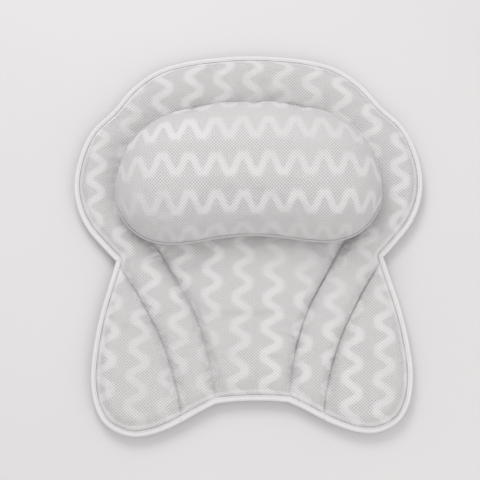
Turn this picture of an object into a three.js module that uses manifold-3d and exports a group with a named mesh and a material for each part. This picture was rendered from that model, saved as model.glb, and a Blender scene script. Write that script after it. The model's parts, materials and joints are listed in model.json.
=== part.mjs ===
// Bath pillow: a butterfly-shaped quilted mesh pad, a crowned head cushion and six suction cups.
// Millimetres, +Z up. The pad lies on its suction cups, face up, with its head end towards +Y.

import * as THREE from "three";
import { mergeVertices } from "three/addons/utils/BufferGeometryUtils.js";
import Module from "manifold-3d";

const wasm = await Module();
wasm.setup();

// Clearances
const seatGap = 0.3; // between two pieces that rest on each other
const hingeGap = 1.0; // between the pad and a wing, along the seam that the wing folds on
const cutOverrun = 5; // how far a cutting shape runs past what it cuts

// Pad
const padHalfWidth = 200; // to the outer edge of the binding, across the lobes
const padHalfLength = 220; // to the outer edge of the binding, head end to wing tips
const faceThickness = 1.5; // jacquard mesh of the face
const rearThickness = 1.2; // plain mesh of the back
const webThickness = 1.0; // the spacer core where a seam squeezes it
const crownRise = 12.5; // how far the padded face stands above its seams
const crownReach = 8; // how quickly the face rises from a seam
const seamLand = 3; // flat strip beside a seam
const outlineMargin = 2; // flat strip inside the binding
const endRowReach = 8; // along a seam, from the outline to the first row of the face's points
const endRowSpacing = 5; // from there to the second row
const landSearchStep = 0.5; // fineness with which the edge of a flat strip is found
const bindingSetback = 1.3; // how far the edge binding stays from a folding seam
const rearSetback = 1.5; // how far the back mesh stays from a folding seam
const coreSetback = 2; // how far the core stays from a folding seam

// Edge binding, a folded tape that wraps the edge of the pad
const bindingWidth = 6;
const tapeThickness = 1.0;

// Quilting thread
const threadRadius = 0.6;
const threadOffset = 1.5; // from a folding seam to its line of stitches

// Head cushion
const headHalfWidth = 147; // to the edge of the cushion's face, without its welt
const headHalfLength = 80.5;
const headCentreY = 69;
const headRise = 55; // from the cushion's edge seam to its crown
const headShoulder = 76; // how far in from the edge the crown is reached
const headDrop = 12; // from the edge seam down to the flat of its back
const headTuck = 18; // how far in the back curves before it lies flat
const headFaceThickness = 1.5;
const headBackThickness = 1.2;
const headEdgeThickness = 1.0; // the face where it meets the edge seam
const weltRadius = 1.2;

// Suction cups and the patches that hold them
const cupRadius = 22;
const cupHeight = 9.5; // from the lip to the shoulder that the patch rests on
const cupHollow = 5.5; // depth of the hollow at the middle
const cupWall = 2.2;
const lipThickness = 0.7;
const shoulderRadius = 8;
const neckRadius = 4;
const neckClearance = 0.5; // from the neck to the hole that it turns in
const buttonRadius = 7.5;
const buttonRimHeight = 1.2;
const buttonHeight = 3;
const buttonTopRadius = 5;
const buttonPlay = 0.5; // above and below the button
const patchWidth = 32;
const patchCorner = 6;
const patchThickness = 1.2;

// Levels, from the floor up
const patchBottom = cupHeight + seatGap;
const rearBottom = patchBottom + patchThickness + seatGap;
const rearTop = rearBottom + rearThickness;
const buttonBottom = rearTop + buttonPlay;
const buttonTop = buttonBottom + buttonHeight;
const coreBottom = rearTop + seatGap;
const faceLandBottom = coreBottom + webThickness + seatGap;
const landTop = faceLandBottom + faceThickness;
const padCrown = landTop + crownRise;
const headBackBottom = padCrown + seatGap;
const headSeam = headBackBottom + headBackThickness + headDrop + seatGap;

// Shapes, as shares of the half width and the half length that they follow, right-hand side
const lobeShares = [
  [0.755, -0.113], [0.841, -0.029], [0.921, 0.06], [0.976, 0.165], [1, 0.29], [0.977, 0.439], [0.907, 0.587],
  [0.783, 0.704], [0.668, 0.829], [0.525, 0.924], [0.355, 0.971], [0.178, 0.992], [0, 1],
];
const wingShares = [
  [0.198, -0.843], [0.287, -0.882], [0.373, -0.925], [0.462, -0.963], [0.556, -0.991], [0.654, -1],
  [0.74, -0.978], [0.812, -0.932], [0.857, -0.863], [0.88, -0.785], [0.888, -0.69], [0.879, -0.583],
  [0.859, -0.464], [0.829, -0.345], [0.792, -0.229], [0.755, -0.113],
];
const footEdgeShares = [[0.198, -0.843], [0.099, -0.834], [0, -0.832]];
const outerSeamFootShare = 0.132; // where the outer seam meets the wing's edge, along that edge
const outerSeamShares = [[0.413, -0.771], [0.488, -0.547], [0.601, -0.338], [0.68, -0.218]];
const innerSeamShares = [
  [0.198, -0.843], [0.213, -0.75], [0.233, -0.636], [0.271, -0.5], [0.329, -0.364], [0.405, -0.24],
  [0.466, -0.14], [0.526, -0.045], [0.6, 0.04], [0.665, 0.14], [0.69, 0.27], [0.65, 0.43],
  [0.54, 0.56], [0.35, 0.645], [0.15, 0.678], [0, 0.682],
];
const innerSeamNeckShare = 0.205; // the part of the inner seam that runs beside one outer seam
const headShares = [
  [0, 1], [-0.155, 0.99], [-0.314, 0.96], [-0.459, 0.905], [-0.594, 0.824], [-0.706, 0.722], [-0.812, 0.579],
  [-0.917, 0.339], [-0.985, -0.012], [-1, -0.392], [-0.932, -0.685], [-0.828, -0.866], [-0.722, -0.957],
  [-0.585, -0.994], [-0.415, -0.969], [-0.257, -0.921], [-0.122, -0.892], [0, -0.883],
];
const centreRowShares = [0.16];
const wingRowShares = [0.18, 0.5];
const headFaceInsetShares = [0, 0.02, 0.06, 0.13, 0.24, 0.42];
const headBackInsetShares = [0, 0.33, 0.67, 1];
const headSpineShares = [0.45, -0.05]; // the cushion's middle line: half its length, and its height
const headReachShare = 0.86; // how near the rings of the cushion's points come to its middle line
const centreReachShare = 0.5; // the same for the centre panel
const wingReachShare = 0.65; // and for a wing
const padSpineShares = [-0.62, 0.3]; // foot and head end of the middle line of the centre panel
const wingCentreShares = [0.7, -0.66];
const cupHollowShares = [[0, 1], [0.75, 0.5], [0.95, 0]];
const cupPlaceShares = [[0.375, 0.78], [0.75, 0.155], [0.67, -0.61]];
const wingCupIndex = 2;
const crownFullness = 2.4; // 2 gives the cushion a round shoulder, more a squarer one
const bentTurn = 0.2; // sine of the angle from which a corner counts as bent

// Divisions
const lobeSteps = 32;
const wingSteps = 20;
const stripSteps = 6;
const footSteps = 8;
const seamSteps = 10;
const headSteps = 42;
const cupSides = 16;
const recessSides = 10;
const threadSides = 4;
const weltSides = 6;
const cornerSteps = 1;
const holeSteps = 5;

// Plane geometry

const point = (x, y) => new THREE.Vector2(x, y);
const mirrored = (p) => point(-p.x, p.y);

function placed(shares, halfWidth, halfLength, centreY = 0) {
  return shares.map(([x, y]) => point(x * halfWidth, centreY + y * halfLength));
}

// A line that crosses the middle: the right-hand points, then their mirror images in reverse
function acrossTheMiddle(points) {
  return [...points, ...points.slice(0, -1).reverse().map(mirrored)];
}

function spaced(curve, from, to, steps) {
  return Array.from({ length: steps + 1 }, (_, i) => curve.getPointAt(from + ((to - from) * i) / steps));
}

// Like spaced, with two short steps at each end that reach past the binding
function spacedBetweenEdges(curve, from, to, steps) {
  const first = endRowReach / curve.getLength();
  const second = first + endRowSpacing / curve.getLength();
  const ends = [from, from + first, to - first, to].map((t) => curve.getPointAt(t));
  return [...ends.slice(0, 2), ...spaced(curve, from + second, to - second, steps - 4), ...ends.slice(2)];
}

function inwardNormal(a, b) {
  return point(a.y - b.y, b.x - a.x).normalize();
}

// Moves each side of a closed anticlockwise loop inwards by its own distance
function insetLoop(loop, distances) {
  return loop.map((corner, i) => {
    const normalBefore = inwardNormal(loop.at(i - 1), corner);
    const normalAfter = inwardNormal(corner, loop[(i + 1) % loop.length]);
    const before = distances.at(i - 1);
    const after = distances[i];
    const turn = normalBefore.cross(normalAfter);
    if (Math.abs(turn) < bentTurn) {
      const middle = normalBefore.clone().add(normalAfter).normalize();
      return corner.clone().addScaledVector(middle, Math.max(before, after));
    }
    return point(
      corner.x + (before * normalAfter.y - after * normalBefore.y) / turn,
      corner.y + (after * normalBefore.x - before * normalAfter.x) / turn,
    );
  });
}

// Moves an open line sideways, to its left as it runs
function offsetLine(line, distance) {
  return line.map((p, i) => {
    const side = inwardNormal(line[Math.max(i - 1, 0)], line[Math.min(i + 1, line.length - 1)]);
    return p.clone().addScaledVector(side, distance);
  });
}

function distanceToLine(p, line) {
  let nearest = Infinity;
  for (let i = 1; i < line.length; i++) {
    const along = line[i].clone().sub(line[i - 1]);
    const share = THREE.MathUtils.clamp(p.clone().sub(line[i - 1]).dot(along) / along.lengthSq(), 0, 1);
    nearest = Math.min(nearest, p.distanceTo(line[i - 1].clone().addScaledVector(along, share)));
  }
  return nearest;
}

function lineLength(line) {
  return line.slice(1).reduce((sum, p, i) => sum + p.distanceTo(line[i]), 0);
}

function pointAlong(line, distance) {
  let left = distance;
  for (let i = 1; i < line.length; i++) {
    const step = line[i].distanceTo(line[i - 1]);
    if (left <= step || i === line.length - 1) {
      return line[i - 1].clone().lerp(line[i], Math.min(left / step, 1));
    }
    left -= step;
  }
  return line.at(-1).clone();
}

// The part of a line that is further than a distance from both its ends
function trimmed(line, distance, steps) {
  const length = lineLength(line);
  return Array.from({ length: steps + 1 }, (_, i) =>
    pointAlong(line, distance + ((length - distance - distance) * i) / steps),
  );
}

// The pad's lines, all running anticlockwise

const onPad = (shares) => placed(shares, padHalfWidth, padHalfLength);
const lobeCurve = new THREE.SplineCurve(acrossTheMiddle(onPad(lobeShares)));
const wingCurve = new THREE.SplineCurve(onPad(wingShares));
const footCurve = new THREE.SplineCurve(acrossTheMiddle(onPad(footEdgeShares)));
const innerSeamCurve = new THREE.SplineCurve(acrossTheMiddle(onPad(innerSeamShares)));

const lobeEdge = spaced(lobeCurve, 0, 1, lobeSteps);
const stripEdge = spaced(wingCurve, 0, outerSeamFootShare, stripSteps);
const wingEdge = spaced(wingCurve, outerSeamFootShare, 1, wingSteps);
const footEdge = spaced(footCurve, 1, 0, footSteps);
const outerSeamCurve = new THREE.SplineCurve([
  wingEdge[0],
  ...onPad(outerSeamShares),
  wingEdge.at(-1),
]);
const outerSeam = spacedBetweenEdges(outerSeamCurve, 0, 1, seamSteps);
const leftOuterSeam = outerSeam.map(mirrored);
const innerSeam = [
  ...spacedBetweenEdges(innerSeamCurve, 0, innerSeamNeckShare, seamSteps),
  ...spaced(innerSeamCurve, innerSeamNeckShare, 1 - innerSeamNeckShare, lobeSteps).slice(1),
  ...spacedBetweenEdges(innerSeamCurve, 1 - innerSeamNeckShare, 1, seamSteps).slice(1),
];
const outline = [
  ...stripEdge.slice(0, -1),
  ...wingEdge.slice(0, -1),
  ...lobeEdge.slice(0, -1),
  ...wingEdge.map(mirrored).reverse().slice(0, -1),
  ...stripEdge.map(mirrored).reverse().slice(0, -1),
  ...footEdge.slice(0, -1),
];
const closedOutline = [...outline, outline[0]];

// How far the padded face stands above its seams at a point
function faceRise(p) {
  const rise = (distance, land) => crownRise * (1 - Math.exp(-Math.max(distance - land, 0) / crownReach));
  const seams = [outerSeam, leftOuterSeam, innerSeam];
  return Math.min(
    rise(distanceToLine(p, closedOutline), bindingWidth + outlineMargin),
    ...seams.map((seam) => rise(distanceToLine(p, seam), seamLand)),
  );
}

// How far along a line, up to its middle, the face stays flat
function landAlong(line) {
  const half = lineLength(line) / 2;
  let reached = landSearchStep;
  while (reached + landSearchStep < half && faceRise(pointAlong(line, reached + landSearchStep)) === 0) {
    reached += landSearchStep;
  }
  return reached;
}

const faceTop = (p) => landTop + faceRise(p);
const faceBottom = (p) => faceTop(p) - faceThickness;
const coreTop = (p) => faceBottom(p) - seatGap;

// Solids

// Rings of points from a loop towards its spine, as triangles of a plane mesh, closed by a flat middle
function ringPatch(loop, spineOf, insetsOf, innerShare) {
  const rays = loop.map((p) => {
    const ray = [p, p.clone().lerp(spineOf(p), innerShare)];
    return [...insetsOf(ray).map((inset) => pointAlong(ray, inset)), ray[1]];
  });
  const rings = rays[0].map((_, r) => rays.map((ray) => ray[r]));
  const triangles = [];
  for (let r = 1; r < rings.length; r++) {
    loop.forEach((_, i) => {
      const next = (i + 1) % loop.length;
      triangles.push([rings[r - 1][i], rings[r - 1][next], rings[r][next]]);
      triangles.push([rings[r - 1][i], rings[r][next], rings[r][i]]);
    });
  }
  const middle = rings.at(-1);
  for (const [a, b, c] of THREE.ShapeUtils.triangulateShape(middle, [])) {
    triangles.push([middle[a], middle[b], middle[c]]);
  }
  return triangles;
}

// A band between two lines with equally many points. Its two first and last rows follow given ends.
function bandPatch(outer, inner, insetsOf, firstEnd, lastEnd) {
  const besideEnd = (end, outerStep, innerStep) =>
    end.map((p, j) => p.clone().add(outerStep.clone().lerp(innerStep, j / (end.length - 1))));
  const stepAt = (line, i, next) => line.at(next).clone().sub(line.at(i));
  const between = outer.slice(2, -2).map((p, i) => {
    const row = [p, inner[i + 2]];
    return insetsOf(row).map((inset) => pointAlong(row, inset));
  });
  const rows = [
    firstEnd,
    besideEnd(firstEnd, stepAt(outer, 0, 1), stepAt(inner, 0, 1)),
    ...between,
    besideEnd(lastEnd, stepAt(outer, -1, -2), stepAt(inner, -1, -2)),
    lastEnd,
  ];
  const triangles = [];
  for (let i = 1; i < rows.length; i++) {
    for (let j = 1; j < rows[i].length; j++) {
      triangles.push([rows[i - 1][j - 1], rows[i][j - 1], rows[i][j]]);
      triangles.push([rows[i - 1][j - 1], rows[i][j], rows[i - 1][j]]);
    }
  }
  return triangles;
}

// A closed solid between two heights over a plane mesh
function slab(triangles, topOf, bottomOf) {
  const keyOf = (p) => `${p.x.toFixed(3)},${p.y.toFixed(3)}`;
  const points = new Map();
  for (const p of triangles.flat()) {
    if (!points.has(keyOf(p))) points.set(keyOf(p), p);
  }
  const faces = triangles
    .map((triangle) => triangle.map(keyOf))
    .filter(([a, b, c]) => a !== b && b !== c && c !== a)
    .map(([a, b, c]) => {
      const [pa, pb, pc] = [a, b, c].map((key) => points.get(key));
      return pb.clone().sub(pa).cross(pc.clone().sub(pa)) > 0 ? [a, b, c] : [a, c, b];
    });
  const sides = new Set();
  for (const [a, b, c] of faces) {
    for (const [from, to] of [[a, b], [b, c], [c, a]]) {
      if (!sides.delete(`${to}|${from}`)) sides.add(`${from}|${to}`);
    }
  }
  const top = new Map([...points].map(([key, p]) => [key, [p.x, p.y, topOf(p)]]));
  const bottom = new Map([...points].map(([key, p]) => [key, [p.x, p.y, bottomOf(p)]]));
  const positions = [];
  for (const [a, b, c] of faces) {
    positions.push(top.get(a), top.get(b), top.get(c));
    positions.push(bottom.get(a), bottom.get(c), bottom.get(b));
  }
  for (const side of sides) {
    const [from, to] = side.split("|");
    positions.push(bottom.get(from), bottom.get(to), top.get(to));
    positions.push(bottom.get(from), top.get(to), top.get(from));
  }
  return new THREE.BufferGeometry().setAttribute(
    "position",
    new THREE.Float32BufferAttribute(positions.flat(), 3),
  );
}

function solidOf(geometry) {
  const bare = geometry.clone();
  bare.deleteAttribute("normal");
  bare.deleteAttribute("uv");
  const merged = mergeVertices(bare);
  return new wasm.Manifold(
    new wasm.Mesh({
      numProp: 3,
      vertProperties: merged.attributes.position.array,
      triVerts: new Uint32Array(merged.index.array),
    }),
  );
}

function geometryOf(solid) {
  const mesh = solid.getMesh();
  return new THREE.BufferGeometry()
    .setAttribute("position", new THREE.BufferAttribute(mesh.vertProperties, 3))
    .setIndex(new THREE.BufferAttribute(mesh.triVerts, 1));
}

// A section of inset and height pairs carried round the outline, as the edge binding is
function carriedRound(loop, section) {
  const rings = section.map(([inset, height]) =>
    insetLoop(loop, loop.map(() => inset)).map((p) => [p.x, p.y, height]),
  );
  const positions = [];
  rings.forEach((ring, r) => {
    const nextRing = rings[(r + 1) % rings.length];
    loop.forEach((_, i) => {
      const next = (i + 1) % loop.length;
      positions.push(ring[i], ring[next], nextRing[next]);
      positions.push(ring[i], nextRing[next], nextRing[i]);
    });
  });
  return new THREE.BufferGeometry().setAttribute(
    "position",
    new THREE.Float32BufferAttribute(positions.flat(), 3),
  );
}

function prism(loop, bottom, top) {
  const settings = { depth: top - bottom, bevelEnabled: false };
  return new THREE.ExtrudeGeometry(new THREE.Shape(loop), settings).translate(0, 0, bottom);
}

function roundSection(radius, sides) {
  return new THREE.Shape(
    Array.from({ length: sides }, (_, i) => {
      const angle = ((i + 0.5) * 2 * Math.PI) / sides;
      return point(radius * Math.cos(angle), radius * Math.sin(angle));
    }),
  );
}

function threadAlong(line) {
  const height = landTop + seatGap + threadRadius;
  const path = new THREE.CatmullRomCurve3(line.map((p) => new THREE.Vector3(p.x, p.y, height)));
  return new THREE.ExtrudeGeometry(roundSection(threadRadius, threadSides), {
    steps: line.length - 1,
    extrudePath: path,
    bevelEnabled: false,
  });
}

// The two regions of the pad: the back pad itself, and one wing

// A region's outline, set back from the seams that it folds on and from the edge of the pad
function setBack(loop, seamRanges) {
  const onSeam = (i) => seamRanges.some(([from, to]) => i >= from && i < to);
  return insetLoop(loop, loop.map((_, i) => (onSeam(i) ? seamSetback : edgeSetback)));
}

const padLoop = [
  ...stripEdge.slice(0, -1),
  ...outerSeam.slice(0, -1),
  ...lobeEdge.slice(0, -1),
  ...leftOuterSeam.toReversed().slice(0, -1),
  ...stripEdge.map(mirrored).reverse().slice(0, -1),
  ...footEdge.slice(0, -1),
];
const padBandStart = stripSteps;
const padBandEnd = padBandStart + seamSteps + lobeSteps + seamSteps;
const padSeamRanges = [
  [padBandStart, padBandStart + seamSteps],
  [padBandEnd - seamSteps, padBandEnd],
];
const wingLoop = [...wingEdge.slice(0, -1), ...outerSeam.toReversed().slice(0, -1)];
const wingSeamRanges = [[wingSteps, wingSteps + seamSteps]];
const seamSetback = hingeGap / 2;
const edgeSetback = tapeThickness + seatGap;
const coreEdgeSetback = bindingWidth + seatGap;

function risingInsets(ray, shares) {
  const land = landAlong(ray);
  const rest = lineLength(ray) - land;
  return [0, land, ...shares.map((share) => land + share * rest)];
}

// The pad's face as a plane mesh: a band round the outside, and the centre panel inside the inner seam
function padTriangles() {
  const loop = setBack(padLoop, padSeamRanges);
  const outer = loop.slice(padBandStart, padBandEnd + 1);
  const firstRow = loop.slice(0, padBandStart + 1).reverse();
  const lastRow = loop.slice(padBandEnd, padBandEnd + stripSteps + 1);
  const inner = [firstRow.at(-1), ...innerSeam.slice(1, -1), lastRow.at(-1)];
  const insetsOf = (row) => {
    const width = lineLength(row);
    const near = landAlong(row);
    const far = landAlong(row.toReversed());
    const slope = Math.min(crownReach / 2, (width - near - far) / 4);
    return [0, near, near + slope, (width + near - far) / 2, width - far - slope, width - far, width];
  };
  const footLine = loop.slice(padBandEnd + stripSteps, padLoop.length);
  const centreLoop = [...inner, ...footLine.slice(1)];
  const [spineFootShare, spineHeadShare] = padSpineShares;
  const spineOf = (p) =>
    point(0, THREE.MathUtils.clamp(p.y, spineFootShare * padHalfLength, spineHeadShare * padHalfLength));
  return [
    ...bandPatch(outer, inner, insetsOf, firstRow, lastRow),
    ...ringPatch(centreLoop, spineOf, (ray) => risingInsets(ray, centreRowShares), centreReachShare),
  ];
}

function wingTriangles(side) {
  const [centre] = placed([wingCentreShares], side * padHalfWidth, padHalfLength);
  const insetsOf = (ray) => risingInsets(ray, wingRowShares);
  const loop = setBack(wingLoop, wingSeamRanges);
  return ringPatch(side > 0 ? loop : loop.map(mirrored), () => centre, insetsOf, wingReachShare);
}

// The side of the outer seam that a wing lies on, a distance away from the seam
function wingZone(side, distance) {
  const seam = offsetLine(outerSeam, -distance);
  const foot = seam[0].clone().add(seam[0].clone().sub(seam[1]));
  const farX = padHalfWidth + cutOverrun;
  const farY = -padHalfLength - cutOverrun;
  const corners = [point(foot.x, farY), point(farX, farY), point(farX, seam.at(-1).y)];
  const loop = [...corners, ...seam.toReversed(), foot];
  const turned = side > 0 ? loop : loop.map(mirrored).reverse();
  return solidOf(prism(turned, 0, landTop + cutOverrun + cutOverrun));
}

function padPart(solid, fromSeam) {
  return solid.subtract(wingZone(1, -fromSeam)).subtract(wingZone(-1, -fromSeam));
}

function wingPart(solid, side, fromSeam) {
  return solid.intersect(wingZone(side, fromSeam));
}

// Edge binding
function bindingLoop() {
  const outside = { bottom: rearBottom - seatGap - tapeThickness, top: landTop + seatGap + tapeThickness };
  const slot = { bottom: rearBottom - seatGap, top: landTop + seatGap };
  return solidOf(
    carriedRound(outline, [
      [0, outside.bottom],
      [0, outside.top],
      [bindingWidth, outside.top],
      [bindingWidth, slot.top],
      [tapeThickness, slot.top],
      [tapeThickness, slot.bottom],
      [bindingWidth, slot.bottom],
      [bindingWidth, outside.bottom],
    ]),
  );
}

// Places of the cups
const cupPlaces = onPad(cupPlaceShares);
const padCupPlaces = cupPlaces.filter((_, i) => i !== wingCupIndex);
const padHoles = [...padCupPlaces, ...padCupPlaces.map(mirrored)];
const wingCup = cupPlaces[wingCupIndex];

function roundHole(place, radius) {
  const hole = new THREE.Path();
  hole.absarc(place.x, place.y, radius, 0, 2 * Math.PI, true);
  return new THREE.Path(hole.getPoints(holeSteps).slice(0, -1));
}

// The whole back mesh, with the holes that the cups' necks turn in
function rearSheet() {
  const shape = new THREE.Shape(insetLoop(outline, outline.map(() => edgeSetback)));
  shape.holes = [...cupPlaces, ...cupPlaces.map(mirrored)].map((place) =>
    roundHole(place, neckRadius + neckClearance),
  );
  const sheet = new THREE.ExtrudeGeometry(shape, { depth: rearThickness, bevelEnabled: false });
  return solidOf(sheet.translate(0, 0, rearBottom));
}

// The spacer core under a face, with a recess over each cup's button
function coreUnder(faceTriangles, places) {
  const recessTop = buttonTop + buttonPlay;
  const underFace = solidOf(slab(faceTriangles, coreTop, () => 0));
  const inside = prism(insetLoop(outline, outline.map(() => coreEdgeSetback)), coreBottom, padCrown);
  return places.reduce((solid, place) => {
    const radius = buttonRadius + buttonPlay;
    const height = recessTop - coreBottom + cutOverrun;
    const cutter = new THREE.CylinderGeometry(radius, radius, height, recessSides).rotateX(Math.PI / 2);
    cutter.translate(place.x, place.y, recessTop - height / 2);
    return solid.subtract(solidOf(cutter));
  }, underFace.intersect(solidOf(inside)));
}

function patch() {
  const halfWidth = patchWidth / 2;
  const inner = halfWidth - patchCorner;
  const shape = new THREE.Shape();
  shape.absarc(inner, inner, patchCorner, 0, Math.PI / 2);
  shape.absarc(-inner, inner, patchCorner, Math.PI / 2, Math.PI);
  shape.absarc(-inner, -inner, patchCorner, Math.PI, 1.5 * Math.PI);
  shape.absarc(inner, -inner, patchCorner, 1.5 * Math.PI, 2 * Math.PI);
  const outer = new THREE.Shape(shape.getPoints(cornerSteps));
  outer.holes = [roundHole(point(0, 0), neckRadius + neckClearance)];
  const settings = { depth: patchThickness, bevelEnabled: false };
  return new THREE.ExtrudeGeometry(outer, settings).translate(0, 0, patchBottom);
}

// A suction cup: lip and hollow below, shoulder, neck and mushroom button above
function suctionCup() {
  const hollow = cupHollowShares.map(([r, z]) => point(r * cupRadius, z * cupHollow));
  const flare = hollow.at(-2);
  const profile = [
    ...hollow,
    point(cupRadius, 0),
    point(cupRadius, lipThickness),
    point(flare.x, flare.y + cupWall),
    point(shoulderRadius, cupHeight),
    point(neckRadius, cupHeight),
    point(neckRadius, buttonBottom),
    point(buttonRadius, buttonBottom),
    point(buttonRadius, buttonBottom + buttonRimHeight),
    point(buttonTopRadius, buttonTop),
    point(0, buttonTop),
  ];
  return new THREE.LatheGeometry(profile, cupSides).rotateX(Math.PI / 2);
}

// Head cushion

const headCurve = new THREE.SplineCurve(
  acrossTheMiddle(placed(headShares, headHalfWidth, headHalfLength, headCentreY)),
);
const headLoop = spaced(headCurve, 0, 1, headSteps).slice(0, -1);
const headEdge = [...headLoop, headLoop[0]];

// The crown's height, as a share, at a distance in from the edge
function crownShare(distance, reach) {
  const t = THREE.MathUtils.clamp(distance / reach, 0, 1);
  return Math.sqrt(1 - (1 - t) ** crownFullness);
}

function headFaceTop(p) {
  const share = crownShare(distanceToLine(p, headEdge), headShoulder);
  return headSeam + headEdgeThickness + (headRise - headEdgeThickness) * share;
}

function headFaceBottom(p) {
  const reach = headShoulder - headFaceThickness;
  const share = crownShare(distanceToLine(p, headEdge) - headFaceThickness, reach);
  return headSeam + (headRise - headFaceThickness) * share;
}

function headBackTop(p) {
  const t = THREE.MathUtils.clamp(distanceToLine(p, headEdge) / headTuck, 0, 1);
  return headSeam - seatGap - headDrop * (1 - (1 - t) ** 2);
}

function headTriangles(insets) {
  const [spineLengthShare, spineHeightShare] = headSpineShares;
  const reach = spineLengthShare * headHalfWidth;
  const spineY = headCentreY + spineHeightShare * headHalfLength;
  const spineOf = (p) => point(THREE.MathUtils.clamp(p.x, -reach, reach), spineY);
  return ringPatch(headLoop, spineOf, () => insets, headReachShare);
}

const headFaceInsets = headFaceInsetShares.map((share) => share * headShoulder);
const headBackInsets = headBackInsetShares.map((share) => share * headTuck);

function headCushionFace() {
  return slab(headTriangles(headFaceInsets), headFaceTop, headFaceBottom);
}

function headCushionBack() {
  return slab(headTriangles(headBackInsets), headBackTop, (p) => headBackTop(p) - headBackThickness);
}

// The filling takes what is left between the face and the back
function headCushionFill() {
  const crown = headSeam + headRise;
  const underFace = slab(headTriangles(headFaceInsets), (p) => headFaceBottom(p) - seatGap, () => 0);
  const overBack = slab(headTriangles(headBackInsets), () => crown, (p) => headBackTop(p) + seatGap);
  const inset = headFaceThickness + seatGap;
  const inside = prism(insetLoop(headLoop, headLoop.map(() => inset)), 0, crown);
  return solidOf(underFace).intersect(solidOf(overBack)).intersect(solidOf(inside));
}

function headCushionWelt() {
  const centre = -(seatGap + weltRadius);
  const section = Array.from({ length: weltSides }, (_, i) => {
    const angle = (-(i + 0.5) * 2 * Math.PI) / weltSides;
    return [centre + weltRadius * Math.cos(angle), headSeam + weltRadius * Math.sin(angle)];
  });
  return carriedRound(headLoop, section);
}

// The assembly

const materials = {
  faceMesh: new THREE.MeshStandardMaterial({ color: 0xdcdcdc, roughness: 0.9, metalness: 0 }),
  rearMesh: new THREE.MeshStandardMaterial({ color: 0xd8d7d6, roughness: 0.92, metalness: 0 }),
  spacerCore: new THREE.MeshStandardMaterial({ color: 0xe4e4e2, roughness: 0.95, metalness: 0 }),
  bindingTape: new THREE.MeshStandardMaterial({ color: 0xece7e4, roughness: 0.75, metalness: 0 }),
  thread: new THREE.MeshStandardMaterial({ color: 0xe6e3e0, roughness: 0.7, metalness: 0 }),
  patchFabric: new THREE.MeshStandardMaterial({ color: 0xe2e0dd, roughness: 0.7, metalness: 0 }),
  cupPlastic: new THREE.MeshStandardMaterial({ color: 0xdfe6ea, roughness: 0.15, metalness: 0 }),
};

function addPiece(group, name, geometry, material) {
  const mesh = new THREE.Mesh(geometry, material);
  mesh.name = name;
  group.add(mesh);
  return mesh;
}

const pillow = new THREE.Group();
const binding = bindingLoop();
const rear = rearSheet();

function addPad() {
  const pad = new THREE.Group();
  const faceTriangles = padTriangles();
  addPiece(pad, "pad_face_mesh", slab(faceTriangles, faceTop, faceBottom), materials.faceMesh);
  const core = padPart(coreUnder(faceTriangles, padHoles), coreSetback);
  addPiece(pad, "pad_spacer_core", geometryOf(core), materials.spacerCore);
  addPiece(pad, "pad_rear_mesh", geometryOf(padPart(rear, rearSetback)), materials.rearMesh);

  const edges = padPart(binding, bindingSetback).decompose();
  const [upper, lower] = edges.sort((a, b) => b.volume() - a.volume());
  addPiece(pad, "head_end_binding", geometryOf(upper), materials.bindingTape);
  addPiece(pad, "foot_end_binding", geometryOf(lower), materials.bindingTape);

  const threadClear = bindingWidth + outlineMargin + threadRadius;
  const innerThread = trimmed(innerSeam, threadClear, innerSeam.length - 1);
  addPiece(pad, "inner_seam_thread", threadAlong(innerThread), materials.thread);
  for (const [name, seam] of [["right", outerSeam], ["left", leftOuterSeam]]) {
    const beside = offsetLine(seam, name === "right" ? threadOffset : -threadOffset);
    const stitched = trimmed(beside, threadClear, seamSteps);
    addPiece(pad, `${name}_seam_thread`, threadAlong(stitched), materials.thread);
  }
  pillow.add(pad);
}

function addWing(name, side) {
  const wing = new THREE.Group();
  const place = side > 0 ? wingCup : mirrored(wingCup);
  const faceTriangles = wingTriangles(side);
  addPiece(wing, `${name}_wing_face_mesh`, slab(faceTriangles, faceTop, faceBottom), materials.faceMesh);
  const core = wingPart(coreUnder(faceTriangles, [place]), side, coreSetback);
  addPiece(wing, `${name}_wing_spacer_core`, geometryOf(core), materials.spacerCore);
  const wingRear = wingPart(rear, side, rearSetback);
  addPiece(wing, `${name}_wing_rear_mesh`, geometryOf(wingRear), materials.rearMesh);
  const wingBinding = wingPart(binding, side, bindingSetback);
  addPiece(wing, `${name}_wing_binding`, geometryOf(wingBinding), materials.bindingTape);
  pillow.add(wing);
}

function addHeadCushion() {
  const cushion = new THREE.Group();
  addPiece(cushion, "head_cushion_face_mesh", headCushionFace(), materials.faceMesh);
  addPiece(cushion, "head_cushion_fill", geometryOf(headCushionFill()), materials.spacerCore);
  addPiece(cushion, "head_cushion_back_mesh", headCushionBack(), materials.rearMesh);
  addPiece(cushion, "head_cushion_welt", headCushionWelt(), materials.bindingTape);
  pillow.add(cushion);
}

function addCups() {
  const names = ["head", "lobe", "wing"];
  cupPlaces.forEach((place, i) => {
    for (const [sideName, side] of [["right", 1], ["left", -1]]) {
      const station = new THREE.Group();
      station.position.set(side * place.x, place.y, 0);
      addPiece(station, `${sideName}_${names[i]}_cup_patch`, patch(), materials.patchFabric);
      addPiece(station, `${sideName}_${names[i]}_suction_cup`, suctionCup(), materials.cupPlastic);
      pillow.add(station);
    }
  });
}

addPad();
addWing("right", 1);
addWing("left", -1);
addHeadCushion();
addCups();

export default pillow;
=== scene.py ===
# %% [markdown]
# # A mesh bath pillow, dressed in Blender
#
# The pillow lies face up on its six suction cups. A imported CAD model gives its sizes, its bodies
# and its joints. This lesson builds the soft skin round that model, piece by piece: quilted fronts,
# a puffed head cushion, folded edge tape, stitches, back mesh, patches and smooth cups.
#
# The first cell loads the imported model.

# %% Load the imported model
import json
import math

import bpy
import numpy as np
from mathutils import Matrix, Vector, noise
from mathutils.geometry import delaunay_2d_cdt
from mathutils.kdtree import KDTree


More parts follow.
